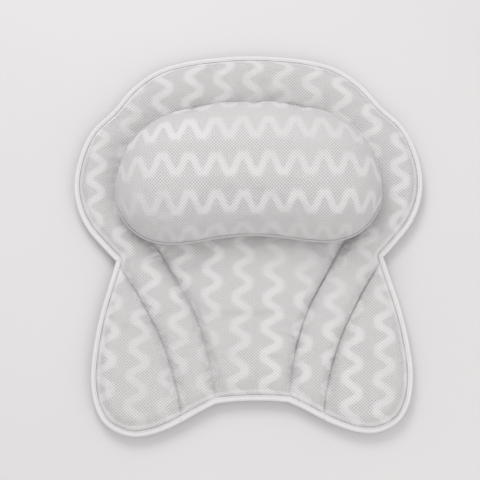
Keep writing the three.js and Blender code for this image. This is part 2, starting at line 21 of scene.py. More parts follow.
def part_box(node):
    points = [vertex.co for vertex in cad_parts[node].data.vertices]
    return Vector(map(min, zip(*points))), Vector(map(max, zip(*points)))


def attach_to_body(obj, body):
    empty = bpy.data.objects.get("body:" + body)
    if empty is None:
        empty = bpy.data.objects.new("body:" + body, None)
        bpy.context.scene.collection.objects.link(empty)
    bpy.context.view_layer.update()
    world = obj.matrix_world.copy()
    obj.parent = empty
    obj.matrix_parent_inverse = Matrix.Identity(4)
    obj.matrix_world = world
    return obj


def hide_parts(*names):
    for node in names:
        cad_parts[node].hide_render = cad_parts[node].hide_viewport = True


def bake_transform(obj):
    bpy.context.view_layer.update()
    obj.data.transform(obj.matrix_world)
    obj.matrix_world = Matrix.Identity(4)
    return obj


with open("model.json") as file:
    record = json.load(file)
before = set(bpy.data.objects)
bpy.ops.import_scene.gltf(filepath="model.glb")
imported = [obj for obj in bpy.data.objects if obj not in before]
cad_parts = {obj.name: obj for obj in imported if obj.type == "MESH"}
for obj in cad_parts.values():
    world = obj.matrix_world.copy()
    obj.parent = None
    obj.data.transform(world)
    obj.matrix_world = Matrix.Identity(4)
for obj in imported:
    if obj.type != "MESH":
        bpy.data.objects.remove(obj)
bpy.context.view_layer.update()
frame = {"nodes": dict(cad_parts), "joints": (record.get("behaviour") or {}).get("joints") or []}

# %% [markdown]
# Every later step measures in metres. The levels are read from the CAD nodes, so that each soft
# piece lies in the space that its solid holds.

# %% Sizes and levels
MM = 0.001
HALF_WIDTH, HALF_LENGTH = 200 * MM, 220 * MM  # the pad, to the outer edge of its tape
SEAM_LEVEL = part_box("right_seam_thread")[0].z - 0.5 * MM  # the face where a seam squeezes it
PAD_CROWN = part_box("pad_face_mesh")[1].z
REAR_BOTTOM, REAR_TOP = (corner.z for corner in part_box("pad_rear_mesh"))
TAPE_BOTTOM, TAPE_TOP = (corner.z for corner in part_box("head_end_binding"))
HEAD_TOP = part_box("head_cushion_face_mesh")[1].z
HEAD_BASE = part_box("head_cushion_back_mesh")[0].z
WELT_LOW, WELT_HIGH = (corner.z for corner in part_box("head_cushion_welt"))
HEAD_SEAM = (WELT_LOW + WELT_HIGH) / 2
print(f"seams at {SEAM_LEVEL / MM:.1f} mm, pad crown at {PAD_CROWN / MM:.1f} mm")
print(f"cushion from {HEAD_BASE / MM:.1f} to {HEAD_TOP / MM:.1f} mm")

# %% [markdown]
# ## The lines of the pad
#
# The pad is a butterfly: two round lobes at the head end, two wings at the foot end and a shallow
# arch between them. A drawn outline could be a Bezier curve, but the seams, the tape and the cloth
# all need points on the same lines, so the outline is a list of shares of the half width and half
# length, joined by a smooth curve that Python works out. Only the right-hand side is listed, and
# the left-hand side is its mirror image.

# %% Shares of the outline and the seams
LOBE = [
    (0.755, -0.113), (0.841, -0.029), (0.921, 0.06), (0.976, 0.165), (1, 0.29), (0.977, 0.439),
    (0.907, 0.587), (0.783, 0.704), (0.668, 0.829), (0.525, 0.924), (0.355, 0.971), (0.178, 0.992),
    (0, 1),
]
WING = [
    (0.198, -0.843), (0.287, -0.882), (0.373, -0.925), (0.462, -0.963), (0.556, -0.991), (0.654, -1),
    (0.74, -0.978), (0.812, -0.932), (0.857, -0.863), (0.88, -0.785), (0.888, -0.69), (0.879, -0.583),
    (0.859, -0.464), (0.829, -0.345), (0.792, -0.229), (0.755, -0.113),
]
FOOT = [(0, -0.832), (0.099, -0.834), (0.198, -0.843)]
OUTER_SEAM = [(0.413, -0.771), (0.488, -0.547), (0.601, -0.338), (0.68, -0.218)]
OUTER_SEAM_FOOT = 0.132  # where the outer seam meets the wing's edge, as a share of that edge
INNER_SEAM = [
    (0.198, -0.843), (0.213, -0.75), (0.233, -0.636), (0.271, -0.5), (0.329, -0.364), (0.405, -0.24),
    (0.466, -0.14), (0.526, -0.045), (0.6, 0.04), (0.665, 0.14), (0.69, 0.27), (0.65, 0.43),
    (0.54, 0.56), (0.35, 0.645), (0.15, 0.678), (0, 0.682),
]
HEAD = [
    (0, 1), (-0.155, 0.99), (-0.314, 0.96), (-0.459, 0.905), (-0.594, 0.824), (-0.706, 0.722),
    (-0.812, 0.579), (-0.917, 0.339), (-0.985, -0.012), (-1, -0.392), (-0.932, -0.685),
    (-0.828, -0.866), (-0.722, -0.957), (-0.585, -0.994), (-0.415, -0.969), (-0.257, -0.921),
    (-0.122, -0.892), (0, -0.883),
]


def on_pad(shares):
    return np.array(shares) * (HALF_WIDTH, HALF_LENGTH)


def mirrored(points):
    return np.asarray(points) * (-1, 1)


def smooth(points, steps=24):
    """A Catmull-Rom curve through the points."""
    p = np.asarray(points, float)
    padded = np.vstack([p[:1], p, p[-1:]])
    t = np.linspace(0, 1, steps, endpoint=False)[:, None]
    spans = []
    for a, b, c, d in zip(padded, padded[1:], padded[2:], padded[3:]):
        leave, arrive = (c - a) / 2, (d - b) / 2
        cubed, squared = 2 * b - 2 * c + leave + arrive, 3 * c - 3 * b - 2 * leave - arrive
        spans.append(cubed * t**3 + squared * t**2 + leave * t + b)
    return np.vstack([*spans, p[-1:]])


def lengths(line):
    return np.concatenate([[0], np.cumsum(np.linalg.norm(np.diff(line, axis=0), axis=1))])


def read_off(at, along, rows):
    """Rows of numbers that are known at some lengths along a line, read off at others."""
    return np.stack([np.interp(at, along, part) for part in rows.T], 1)


def part_of(line, first, last, spacing):
    """Evenly spaced points on a line between two shares of its length."""
    along = lengths(line)
    count = max(2, round((last - first) * along[-1] / spacing) + 1)
    return read_off(np.linspace(first, last, count) * along[-1], along, line)


def both_halves(right):
    """A line that ends on the middle, carried on over it as its own mirror image."""
    return np.vstack([right, mirrored(right[-2::-1])])


def closed(loop):
    return np.vstack([loop, loop[:1]])


EDGE_STEP = 1.5 * MM
lobe_line = part_of(smooth(both_halves(on_pad(LOBE))), 0, 1, EDGE_STEP)
wing_line = part_of(smooth(on_pad(WING)), OUTER_SEAM_FOOT, 1, EDGE_STEP)
strip_line = part_of(smooth(on_pad(WING)), 0, OUTER_SEAM_FOOT, EDGE_STEP)
foot_line = part_of(smooth(both_halves(mirrored(on_pad(FOOT))[::-1])), 0, 1, EDGE_STEP)
outline = np.vstack([
    wing_line[:-1], lobe_line[:-1], mirrored(wing_line)[::-1][:-1],
    mirrored(strip_line)[::-1][:-1], foot_line[:-1], strip_line[:-1],
])
ends = np.cumsum([0, len(wing_line) - 1, len(lobe_line) - 1, len(wing_line) - 1])
outer_seam = part_of(smooth([wing_line[0], *on_pad(OUTER_SEAM), wing_line[-1]]), 0, 1, EDGE_STEP)
inner_seam = part_of(smooth(both_halves(on_pad(INNER_SEAM))), 0, 1, EDGE_STEP)
closed_outline = closed(outline)
print(f"outline {lengths(closed_outline)[-1] / MM:.0f} mm round")
print(f"one outer seam {lengths(outer_seam)[-1] / MM:.0f} mm long")

# %% [markdown]
# The tape and the cloth both need to know which way is inwards at each point of the outline. At the
# notch between a lobe and a wing the outline turns sharply, so the directions are averaged over a
# few neighbours, as a soft tape rounds such a corner.


# %% Directions and distances
def inward(loop, spread):
    """Unit vectors to the left of a closed anticlockwise loop, averaged over its neighbours."""
    along = np.roll(loop, -1, 0) - np.roll(loop, 1, 0)
    along /= np.linalg.norm(along, axis=1)[:, None]
    total = sum(np.roll(along, k, 0) for k in range(-spread, spread + 1))
    total /= np.linalg.norm(total, axis=1)[:, None]
    return np.stack([-total[:, 1], total[:, 0]], 1)


def beside(line, distance):
    """An open line moved to its left."""
    along = np.gradient(line, axis=0)
    along /= np.linalg.norm(along, axis=1)[:, None]
    return line + distance * np.stack([-along[:, 1], along[:, 0]], 1)


def nearest(points, line):
    """Each point's distance to a line, and how far along the line its nearest place is."""
    points = np.asarray(points)
    tree = KDTree(len(line))
    for number, (x, y) in enumerate(line):
        tree.insert((x, y, 0), number)
    tree.balance()
    index = np.array([tree.find((x, y, 0))[1] for x, y in points])
    along = lengths(line)
    distance, place = np.full(len(points), np.inf), np.zeros(len(points))
    for shift in (-1, 0):
        first = (index + shift) % (len(line) - 1)
        step = line[first + 1] - line[first]
        size = np.hypot(*step.T)
        offset = points - line[first]
        share = np.clip((offset * step).sum(1) / size**2, 0, 1)
        gap = np.hypot(*(offset - share[:, None] * step).T)
        closer = gap < distance
        distance[closer] = gap[closer]
        place[closer] = (along[first] + share * size)[closer]
    return distance, place


def inside(points, loop):
    """Which points lie in a closed loop."""
    x, y = np.asarray(points).T
    found = np.zeros(len(x), bool)
    for (ax, ay), (bx, by) in zip(loop, np.roll(loop, -1, 0)):
        crosses = (ay > y) != (by > y)
        found ^= crosses & (x < (bx - ax) * (y - ay) / (by - ay + 1e-12) + ax)
    return found


def turns(count):
    """Angles spread evenly round a circle."""
    return np.arange(count) * 2 * np.pi / count


def circle(radius, count):
    return np.c_[radius * np.cos(turns(count)), radius * np.sin(turns(count))]


edge_inward = inward(outline, 3)
seams = [outer_seam, mirrored(outer_seam), inner_seam]
TUCK = 1.8 * MM  # how far inside the tape's outer edge the layers end
tucked = outline + TUCK * edge_inward


def seam_to_tucked(line, first, last):
    """A seam that ends on the tucked edge."""
    kept = [p for p in line if min(np.linalg.norm(p - end) for end in (line[0], line[-1])) > TUCK]
    return np.vstack([tucked[first], *kept, tucked[last]])


right_seam = seam_to_tucked(outer_seam, ends[0], ends[1])
left_seam = seam_to_tucked(mirrored(outer_seam), ends[3], ends[2])
wing_loops = {
    "right": np.vstack([tucked[ends[0]:ends[1]], right_seam[:0:-1]]),
    "left": np.vstack([tucked[ends[2]:ends[3]], left_seam[:-1]]),
}
print(len(tucked), "points on the tucked outline,", len(wing_loops["right"]), "round a wing")

# %% [markdown]
# ## One plan for every sheet
#
# The front, the back and their wings are all sheets over the same plan. A grid would leave ragged
# edges, and an extruded outline would have no points inside to raise. A constrained Delaunay
# triangulation keeps the outline and the seams as edges and fills the rest with even triangles.
# Rows of points beside each line let the cloth dip steeply there and stay coarse elsewhere.


# %% The plan mesh
def thinned(groups, cell):
    """Points in order of importance, each dropped where an earlier one is too near."""
    kept, cells = [], {}
    around = [(i, j) for i in (-1, 0, 1) for j in (-1, 0, 1)]
    for points, gap in groups:
        for x, y in points:
            column, row = int(x // cell), int(y // cell)
            near = [q for i, j in around for q in cells.get((column + i, row + j), ())]
            if all((x - qx) ** 2 + (y - qy) ** 2 > gap**2 for qx, qy in near):
                kept.append((x, y))
                cells.setdefault((column, row), []).append((x, y))
    return kept


def lattice(spacing):
    """Staggered rows of points over the whole pad."""
    xs = np.arange(-HALF_WIDTH, HALF_WIDTH, spacing)
    ys = np.arange(-HALF_LENGTH, HALF_LENGTH, spacing * math.sqrt(3) / 2)
    return np.vstack([np.c_[xs + i % 2 * spacing / 2, np.full(len(xs), y)] for i, y in enumerate(ys)])


def filled(points, edges, faces):
    """A constrained Delaunay mesh: its places, its triangles turned face up, and their middles."""
    made = delaunay_2d_cdt([Vector(p) for p in points], edges, faces, 1, 1e-6)
    place = np.array([tuple(p) for p in made[0]])
    triangles = np.array([f for f in made[2] if len(f) == 3])
    a, b, c = (place[triangles[:, i]] for i in range(3))
    (ux, uy), (vx, vy) = (b - a).T, (c - a).T
    turned = ux * vy < uy * vx
    triangles[turned] = triangles[turned][:, ::-1]
    return place, triangles, (a + b + c) / 3


def regions(middles):
    """0 for a triangle of the pad, 1 for one of the right wing and -1 for one of the left."""
    return inside(middles, wing_loops["right"]).astype(int) - inside(middles, wing_loops["left"])


def plan(spacing, edge_rows, seam_rows, stride):
    """Places, triangles and regions; a stride of 2 takes every second point of each line."""
    fixed = [tucked[sorted({*range(0, len(tucked), stride), *ends})]]
    fixed += [np.vstack([line[:-1:stride], line[-1:]]) for line in (right_seam, left_seam)]
    fixed.append(inner_seam[inside(inner_seam, tucked)][1:-1:stride])
    count = np.cumsum([0, *(len(line) for line in fixed)])
    edges = [(i, i + 1) for first, last in zip(count[1:], count[2:]) for i in range(first, last - 1)]
    rows = [outline[::stride] + d * edge_inward[::stride] for d in edge_rows]
    rows += [beside(line[::stride], side * d) for line in seams for d in seam_rows for side in (1, -1)]
    finest = 0.7 * min(edge_rows[1] - edge_rows[0], seam_rows[0])
    groups = [(np.vstack(fixed), 0), (np.vstack(rows), finest), (lattice(spacing), 0.8 * spacing)]
    free = np.array(thinned(groups, spacing))[count[-1]:]
    depth, _ = nearest(free, closed_outline)
    free = free[inside(free, tucked) & (depth > TUCK + 0.5 * MM)]
    place, triangles, middles = filled([*np.vstack(fixed), *free], edges, [list(range(count[1]))])
    return place, triangles, regions(middles)


EDGE_ROWS = np.array([3.6, 5.4, 6.2, 7.2, 8.2, 9.2, 10.2, 11.8, 14]) * MM
SEAM_ROWS = np.array([0.8, 1.7, 2.8, 4.2, 6.2]) * MM
front_plan = plan(3 * MM, EDGE_ROWS, SEAM_ROWS, 1)
print("front plan:", len(front_plan[0]), "points,", len(front_plan[1]), "triangles")

# %% [markdown]
# ## Finishes
#
# Everything here is white or nearly white, so the finish has to show in small things: how open the
# mesh is, where the jacquard bands lie, how the tape is woven. Image textures would tie the cloth
# to a photograph, so all of it is worked out from each point's place on the cloth. To write that
# as plain sums, a small class wraps a node's socket and turns `+`, `-` and `*` into Math nodes.


# %% Shader sums in Python
class Wire:
    """A number that a node puts out, for use in sums."""

    def __init__(self, finish, socket):
        self.finish, self.socket = finish, socket

    def math(self, operation, *others, swap=False):
        terms = [self, *others]
        if swap:
            terms.reverse()
        node = self.finish.node("ShaderNodeMath", {"operation": operation}, dict(enumerate(terms)))
        return Wire(self.finish, node.outputs[0])

    def __add__(self, other):
        return self.math("ADD", other)

    def __sub__(self, other):
        return self.math("SUBTRACT", other)

    def __rsub__(self, other):
        return self.math("SUBTRACT", other, swap=True)

    def __mul__(self, other):
        return self.math("MULTIPLY", other)

    __radd__, __rmul__ = __add__, __mul__

    def step(self, low, high):
        """0 below low, 1 above high, and a smooth rise between."""
        inputs = {"Value": self, "From Min": low, "From Max": high}
        node = self.finish.node("ShaderNodeMapRange", {"interpolation_type": "SMOOTHSTEP"}, inputs)
        return Wire(self.finish, node.outputs[0])

    def wave(self, length):
        """A cosine along this length."""
        return (self * (2 * math.pi / length)).math("COSINE")


class Finish:
    """A material under construction, with its Principled shader."""

    def __init__(self, name, **constants):
        self.material = bpy.data.materials.new(name)
        self.material.use_nodes = True
        self.tree = self.material.node_tree
        self.shader = self.tree.nodes["Principled BSDF"]
        for socket, value in constants.items():
            self.shader.inputs[socket.replace("_", " ")].default_value = value

    def node(self, kind, settings, inputs):
        made = self.tree.nodes.new(kind)
        for name, value in settings.items():
            setattr(made, name, value)
        for key, value in inputs.items():
            self.feed(made.inputs[key], value)
        return made

    def feed(self, socket, value):
        if isinstance(value, Wire):
            self.tree.links.new(value.socket, socket)
        elif isinstance(value, bpy.types.NodeSocket):
            self.tree.links.new(value, socket)
        else:
            socket.default_value = value

    def place(self):
        """The point's place on the cloth as three numbers, kept with the mesh so that it bends along."""
        found = self.node("ShaderNodeAttribute", {"attribute_name": "place"}, {})
        self.vector = found.outputs["Vector"]
        split = self.node("ShaderNodeSeparateXYZ", {}, {0: self.vector})
        return [Wire(self, out) for out in split.outputs]

    def noise(self, scale, detail=2.0, roughness=0.5):
        inputs = {"Vector": self.vector, "Scale": scale, "Detail": detail, "Roughness": roughness}
        return Wire(self, self.node("ShaderNodeTexNoise", {}, inputs).outputs[0])

    def mix(self, factor, first, second):
        """A colour between two colours."""
        settings = {"data_type": "RGBA"}
        inputs = {"Factor": factor, 6: first, 7: second}
        return self.node("ShaderNodeMix", settings, inputs).outputs[2]

    def finish(self, colour, roughness, height, depth):
        """Joins what varies over the surface to the shader, with height as bump of that depth."""
        bump = self.node("ShaderNodeBump", {}, {"Height": height, "Distance": depth, "Strength": 1.0})
        self.feed(self.shader.inputs["Base Color"], colour)
        self.feed(self.shader.inputs["Roughness"], roughness)
        self.feed(self.shader.inputs["Normal"], bump.outputs[0])
        return self.material


def tint(level, warmth=1.0):
    """A near-white written as an 8-bit display value, a little warm, as a linear colour."""
    parts = [(level + warmth * k) / 255 for k in (1.2, -0.5, -0.7)]
    return [((c + 0.055) / 1.055) ** 2.4 for c in parts] + [1.0]


# %% [markdown]
# The front is a jacquard air mesh. Open diamond-shaped cells cover it, and denser zigzag bands run
# over them: down the pad, and across the head cushion. A band is a sine wave with a thickness, so a
# point's distance from the nearest wave tells whether it lies on one. The cells are a product of
# two cosines, which gives a lattice of holes in staggered rows, each painted dark as the shade seen
# through it. On a band the holes close up. The third number of a place tells more about the cloth:
# above nought its holes close and it is painted lighter, partly as cloth drawn close and partly as a
# painted highlight, on the roll's crest beside the tape and on the cushion's top rows; below nought
# its bands are faint.


# %% Jacquard air mesh
CELL_ALONG, CELL_ACROSS = 3.5 * MM, 3.7 * MM


def jacquard(name, spacing, period, swing, width, along_shift, across_shift):
    """Bands of one width, spaced apart, that swing to and fro once in a period."""
    made = Finish(name, Sheen_Weight=0.2, Sheen_Roughness=0.4, Specular_IOR_Level=0.25)
    along, across, state = made.place()
    # Above nought the holes close and the cloth is painted lighter: partly cloth drawn close, partly a
    # painted highlight.
    close = state.math("MAXIMUM", 0.0) * (1 / MM)
    faint = state.math("MINIMUM", 0.0) * (1 / MM)
    wander = (made.noise(18, 1.0) - 0.5) * (4 * MM)
    turn = (along - along_shift) * (2 * math.pi / period)
    slope = turn.math("SINE") * (2 * math.pi * swing / period)
    offset = across - across_shift + wander - turn.math("COSINE") * swing
    distance = offset.math("PINGPONG", spacing / 2).math("DIVIDE", (slope * slope + 1).math("SQRT"))
    cells = along.wave(CELL_ALONG) * across.wave(CELL_ACROSS)
    ragged = distance + cells * (0.9 * MM)
    fade = made.noise(6, 1.0).step(0.3, 0.6) * 0.55 + 0.45 + faint
    band = (1 - ragged.step(width / 2 - 2.2 * MM, width / 2 + 2.2 * MM)) * fade
    dense = (band * 0.45 + close * 0.6).math("MINIMUM", 1.0)
    hole = cells.step(0.0, 0.7) * (1 - dense)
    yarn = (along + across).wave(0.62 * MM) * 0.5 + (along - across).wave(0.62 * MM) * 0.5
    patchy = made.noise(30, 3.0, 0.6)
    # Lighter on the bands, and where the third number is above nought, which there is partly a painted
    # highlight.
    cloth = made.mix((band + close * 0.8).math("MINIMUM", 1.0), tint(221), tint(233))
    cloth = made.mix((patchy - 0.5).math("ABSOLUTE") * 0.3, cloth, tint(210))
    # The holes are painted dark (175): painted shade seen down through the open mesh.
    colour = made.mix(hole * 0.6, cloth, tint(175))
    height = band * 0.4 + (1 - hole) * 0.6 + yarn * 0.05
    return made.finish(colour, 0.92 - band * 0.12, height, 0.8 * MM)


pad_cloth = jacquard(
    "pad_jacquard_mesh", spacing=34.3 * MM, period=31.9 * MM, swing=7.3 * MM, width=9.8 * MM,
    along_shift=8.7 * MM, across_shift=0,
)
head_cloth = jacquard(
    "head_jacquard_mesh", spacing=41.8 * MM, period=28.8 * MM, swing=9.1 * MM, width=9.4 * MM,
    along_shift=-6.2 * MM, across_shift=-2.5 * MM,
)
print("jacquards:", pad_cloth.name, "and", head_cloth.name)


# %% [markdown]
# The back is a plain mesh with round cells. The tape is a flat woven ribbon, ribbed across its
# length, and the thread is a twisted yarn. Patches are a close plain weave with a coating, and the
# cups are a soft clear vinyl with a faint haze. Each finish is a few lines of sums of its own.


# %% Plain mesh, tape, thread, patch fabric and cup plastic
def plain_mesh():
    made = Finish("plain_back_mesh", Sheen_Weight=0.15, Sheen_Roughness=0.5, Specular_IOR_Level=0.25)
    along, across, _ = made.place()
    cells = along.wave(2.6 * MM) * across.wave(3.0 * MM)
    hole = cells.step(0.1, 0.6)
    patchy = made.noise(45, 3.0, 0.6)
    cloth = made.mix(patchy * 0.4, tint(216), tint(203))
    # The holes are painted dark (158): painted shade seen through the open mesh.
    colour = made.mix(hole * 0.7, cloth, tint(158))
    return made.finish(colour, 0.93 - patchy * 0.08, (1 - hole) * 0.8 + patchy * 0.2, 0.5 * MM)


def woven_tape(name, light, dark):
    made = Finish(name, Sheen_Weight=0.3, Sheen_Roughness=0.3, Specular_IOR_Level=0.35)
    along, across, _ = made.place()
    ribs = along.wave(0.9 * MM) * 0.5 + 0.5
    picks = (along.wave(1.8 * MM) * across.wave(0.8 * MM)) * 0.5 + 0.5
    worn = made.noise(120, 3.0, 0.6)
    # Darker between the ribs: painted shade in their grooves; worn adds a random tone.
    colour = made.mix(worn * 0.35 + (1 - ribs) * 0.25, tint(light), tint(dark))
    return made.finish(colour, 0.72 - ribs * 0.1 + worn * 0.1, ribs * 0.7 + picks * 0.3, 0.14 * MM)


def twisted_thread():
    made = Finish("sewing_thread_twist", Sheen_Weight=0.2, Specular_IOR_Level=0.3)
    along, across, _ = made.place()
    ply = (along + across * 0.8).wave(0.55 * MM) * 0.5 + 0.5
    fuzz = made.noise(900, 2.0)
    # Lighter on the ply's crests and darker in its twist: painted shade in the grooves.
    colour = made.mix(ply, tint(205), tint(236))
    return made.finish(colour, 0.8 - ply * 0.15, ply + fuzz * 0.3, 0.12 * MM)


def coated_weave():
    made = Finish("patch_weave", Sheen_Weight=0.1, Specular_IOR_Level=0.4)
    along, across, _ = made.place()
    weave = along.wave(0.7 * MM) * across.wave(0.7 * MM) * 0.5 + 0.5
    soil = made.noise(60, 3.0, 0.6)
    colour = made.mix(soil * 0.5, tint(226), tint(212))
    return made.finish(colour, 0.7 - weave * 0.1, weave + soil * 0.2, 0.1 * MM)


def clear_vinyl():
    made = Finish(
        "translucent_vinyl", Transmission_Weight=0.75, IOR=1.46, Specular_IOR_Level=0.5,
        Subsurface_Weight=0.2, Subsurface_Radius=(0.004, 0.005, 0.006),
    )
    made.place()
    haze = made.noise(140, 3.0, 0.6)
    bloom = made.noise(35, 2.0)
    colour = made.mix(bloom, [0.80, 0.86, 0.90, 1], [0.70, 0.78, 0.83, 1])
    return made.finish(colour, haze * 0.2 + 0.1, haze, 0.05 * MM)


back_cloth, thread_yarn = plain_mesh(), twisted_thread()
patch_cloth, cup_vinyl = coated_weave(), clear_vinyl()
# The piping uses the tape's weave painted darker all round (209 and 190 against 239 and 219): painted
# shade for the cushion's lower edge.
tape_cloth, shaded_piping_cloth = woven_tape("woven_edge_tape", 239, 219), woven_tape("woven_piping_painted_shade", 209, 190)
finishes = [back_cloth, thread_yarn, patch_cloth, cup_vinyl, tape_cloth, shaded_piping_cloth]
print("finishes:", [material.name for material in finishes])

# %% [markdown]
# ## Pieces and how they move
#
# Each wing folds on its outer seam. The seam is a gentle curve and the joint is a straight axis. Two
# points about 1 cm apart are worked out where a wing's cloth would start and end its bend, but no
# piece is bent with them. Tapes, stitches, the cushion's form, its welt and the patches are all
# rings of points with a skin of faces between them, which one function gives.


# %% Where a wing bends
fold_joints = {j["name"]: j for j in frame["joints"] if j["type"] == "hinge" and not j.get("continuous")}
BEND_START, BEND_END = 7.5 * MM, 19.5 * MM


def bend_points(side):
    """Where a wing's cloth starts and ends its bend, measured outwards from the fold's axis."""
    joint = fold_joints[f"{side}_wing_fold"]
    pivot, axis = Vector(joint["pos_m"]), Vector(joint["axis"])
    outwards = axis.cross(Vector((0, 0, 1)))
    if outwards.x * pivot.x < 0:
        outwards.negate()
    return pivot + BEND_START * outwards, pivot + BEND_END * outwards


for name, joint in fold_joints.items():
    low, high = joint["range_deg"]
    print(f"{name}: {low} to {high} degrees")


# %% Making and attaching pieces
def placed(name, data):
    """An object for a mesh, a lamp or a camera, in the scene."""
    made = bpy.data.objects.new(name, data)
    bpy.context.scene.collection.objects.link(made)
    return made


def piece(name, vertices, faces, place, material, sharp=()):
    """A mesh object whose points remember their place on the cloth."""
    mesh = bpy.data.meshes.new(name)
    mesh.from_pydata(np.asarray(vertices).tolist(), [], [list(map(int, f)) for f in faces])
    mesh.materials.append(material)
    mesh.polygons.foreach_set("use_smooth", [True] * len(mesh.polygons))
    if len(sharp):
        wanted = {tuple(sorted(map(int, pair))) for pair in sharp}
        for edge in mesh.edges:
            if tuple(sorted(edge.vertices)) in wanted:
                edge.use_edge_sharp = True
    kept = mesh.attributes.new("place", "FLOAT_VECTOR", "POINT")
    kept.data.foreach_set("vector", np.asarray(place, np.float32).ravel())
    return placed(name, mesh)


def attach(made, side, slot, *nodes):
    """Puts a piece on the pad's body (side 0), or bakes a wing's piece where it is, and hides the parts
    it stands for.
    """
    if side:
        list(bend_points(side))
        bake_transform(made)
    else:
        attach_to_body(made, "back_pad")
    if nodes:
        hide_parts(*nodes)


def skin(rings, count, joined=False):
    """Four-sided faces between rings of as many points each, with the last ring joined to the first."""
    return [
        tuple(r % rings * count + k % count for r, k in ((a, i), (a, i + 1), (a + 1, i + 1), (a + 1, i)))
        for a in range(rings if joined else rings - 1) for i in range(count)
    ]


def caps(rings, count):
    """The first and the last ring as faces that close a skin."""
    return [tuple(range(count - 1, -1, -1)), tuple(range((rings - 1) * count, rings * count))]


def borders(triangles):
    """The directed edges that only one triangle has."""
    pairs = np.vstack([triangles[:, [0, 1]], triangles[:, [1, 2]], triangles[:, [2, 0]]])
    known = {(a, b) for a, b in pairs.tolist()}
    return [(a, b) for a, b in pairs.tolist() if (b, a) not in known]


def slab(name, place, triangles, top, bottom, cloth_place, material):
    """A closed sheet between two heights over some triangles of a plan."""
    used, flat = np.unique(triangles, return_inverse=True)
    flat = flat.reshape(-1, 3)
    xy, count = place[used], len(used)
    vertices = np.vstack([np.c_[xy, top[used]], np.c_[xy, bottom[used]]])
    edge = borders(flat)
    walls = [(b, a, a + count, b + count) for a, b in edge]
    faces = [*flat.tolist(), *(flat[:, ::-1] + count).tolist(), *walls]
    spots = np.vstack([cloth_place[used]] * 2)
    sharp = [*edge, *((a + count, b + count) for a, b in edge)]
    return piece(name, vertices, faces, spots, material, sharp)


# %% [markdown]
# ## The quilted front
#
# The front is one sheet of mesh over a springy spacer, sewn through along its seams and puffed
# between them. It is made in two steps. First the height comes from each point's distance to the
# lines: a steep rise beside a seam that flattens towards the middle of a panel. Small gathers run
# away from the stitches, and slow noise keeps the panels from looking moulded. The pad and both
# wings use the same height, and they meet at the bottom of the outer seams.

# %% Height of the front
TAPE_WIDTH = 6 * MM
RISE_REACH = 6.5 * MM
SEAM_DIP = 1.4 * MM
RIDGE_INSET, RIDGE_WIDTH, RIDGE_HEIGHT = 9.2 * MM, 1.6 * MM, 1.1 * MM  # the seam allowance's roll


def drifting(rows):
    """Smooth noise between -1 and 1, read at rows of three numbers."""
    return np.array([noise.noise(Vector(row)) for row in rows])


def gathers(distance, place, spacing, depth, reach):
    """Small folds that run away from a row of stitches and die out."""
    drift = drifting((s * 35, spacing * 900, 0.0) for s in place)
    folds = np.sin(2 * np.pi * (place + 0.006 * drift) / spacing)
    strength = 0.6 + 0.8 * drifting((s * 20, 7.0, spacing * 900) for s in place)
    return depth * strength * folds * np.exp(-distance / reach) * (1 - np.exp(-distance / (1.5 * MM)))


def front_height(points):
    edge, edge_place = nearest(points, closed_outline)
    height = (PAD_CROWN - SEAM_LEVEL) * (1 - np.exp(-np.maximum(edge - TAPE_WIDTH, 0) / RISE_REACH))
    height += RIDGE_HEIGHT * np.exp(-(((edge - RIDGE_INSET) / RIDGE_WIDTH) ** 2))
    dip = np.zeros(len(points))
    folds = gathers(np.maximum(edge - TAPE_WIDTH, 0), edge_place, 8.5 * MM, 0.7 * MM, 7 * MM)
    for index, seam in enumerate(seams):
        distance, place = nearest(points, seam)
        height *= 1 - np.exp(-distance / RISE_REACH)
        dip = np.maximum(dip, SEAM_DIP * np.exp(-((distance / (0.8 * MM)) ** 2)))
        folds += gathers(distance, place, (7.5 + index) * MM, 0.8 * MM, 7 * MM)
    slow = drifting((x * 22, y * 22, 3.0) for x, y in points)
    open_panel = np.clip(height / (PAD_CROWN - SEAM_LEVEL), 0, 1)
    flat_edge = np.clip((edge - 5 * MM) / (3 * MM), 0, 1)
    return SEAM_LEVEL + height + (1.4 * MM * slow * open_panel + folds - dip) * flat_edge


CLOTH_TURN = math.radians(3.8)  # the jacquard was cut a little off the pad's own direction


def on_cloth(points, along_shift, across_shift):
    """Places along and across the jacquard under points of the plan, and 1 mm on the rolled edge: a
    painted highlight on its crest, where the cloth is also drawn close.
    """
    x, y = points.T
    along = y * math.cos(CLOTH_TURN) + x * math.sin(CLOTH_TURN) - along_shift
    across = x * math.cos(CLOTH_TURN) - y * math.sin(CLOTH_TURN) - across_shift
    edge, _ = nearest(points, closed_outline)
    # The roll's crest beside the tape gets a painted highlight, with its holes closed.
    rolled = 1 * MM * np.exp(-(((edge - RIDGE_INSET) / RIDGE_WIDTH) ** 2))
    return np.c_[along, across, rolled]


points, triangles, region = front_plan
top = front_height(points)
bottom = np.full(len(points), REAR_TOP + 0.3 * MM)
print(f"front height {top.min() / MM:.1f} to {top.max() / MM:.1f} mm")

# %% [markdown]
# The second step is a cloth simulation. Each front is a closed bag, and a light pressure inside
# swells its panels and wrinkles the cloth where the stitches hold it, which no formula does as
# well. Everything that is sewn down is pinned: the seams, the edge under the tape and the back.
# Gravity is off, since the filling carries the cloth, and a cap on each point's move keeps the
# size. The cushion uses the same function further on.


# %% Inflating cloth
def positions(made):
    found = np.zeros(len(made.data.vertices) * 3)
    made.data.vertices.foreach_get("co", found)
    return found.reshape(-1, 3)


def keep_result(made):
    """Replaces an object's mesh with what its modifiers make of it."""
    result = bpy.data.meshes.new_from_object(made.evaluated_get(bpy.context.evaluated_depsgraph_get()))
    made.modifiers.clear()
    made.data = result


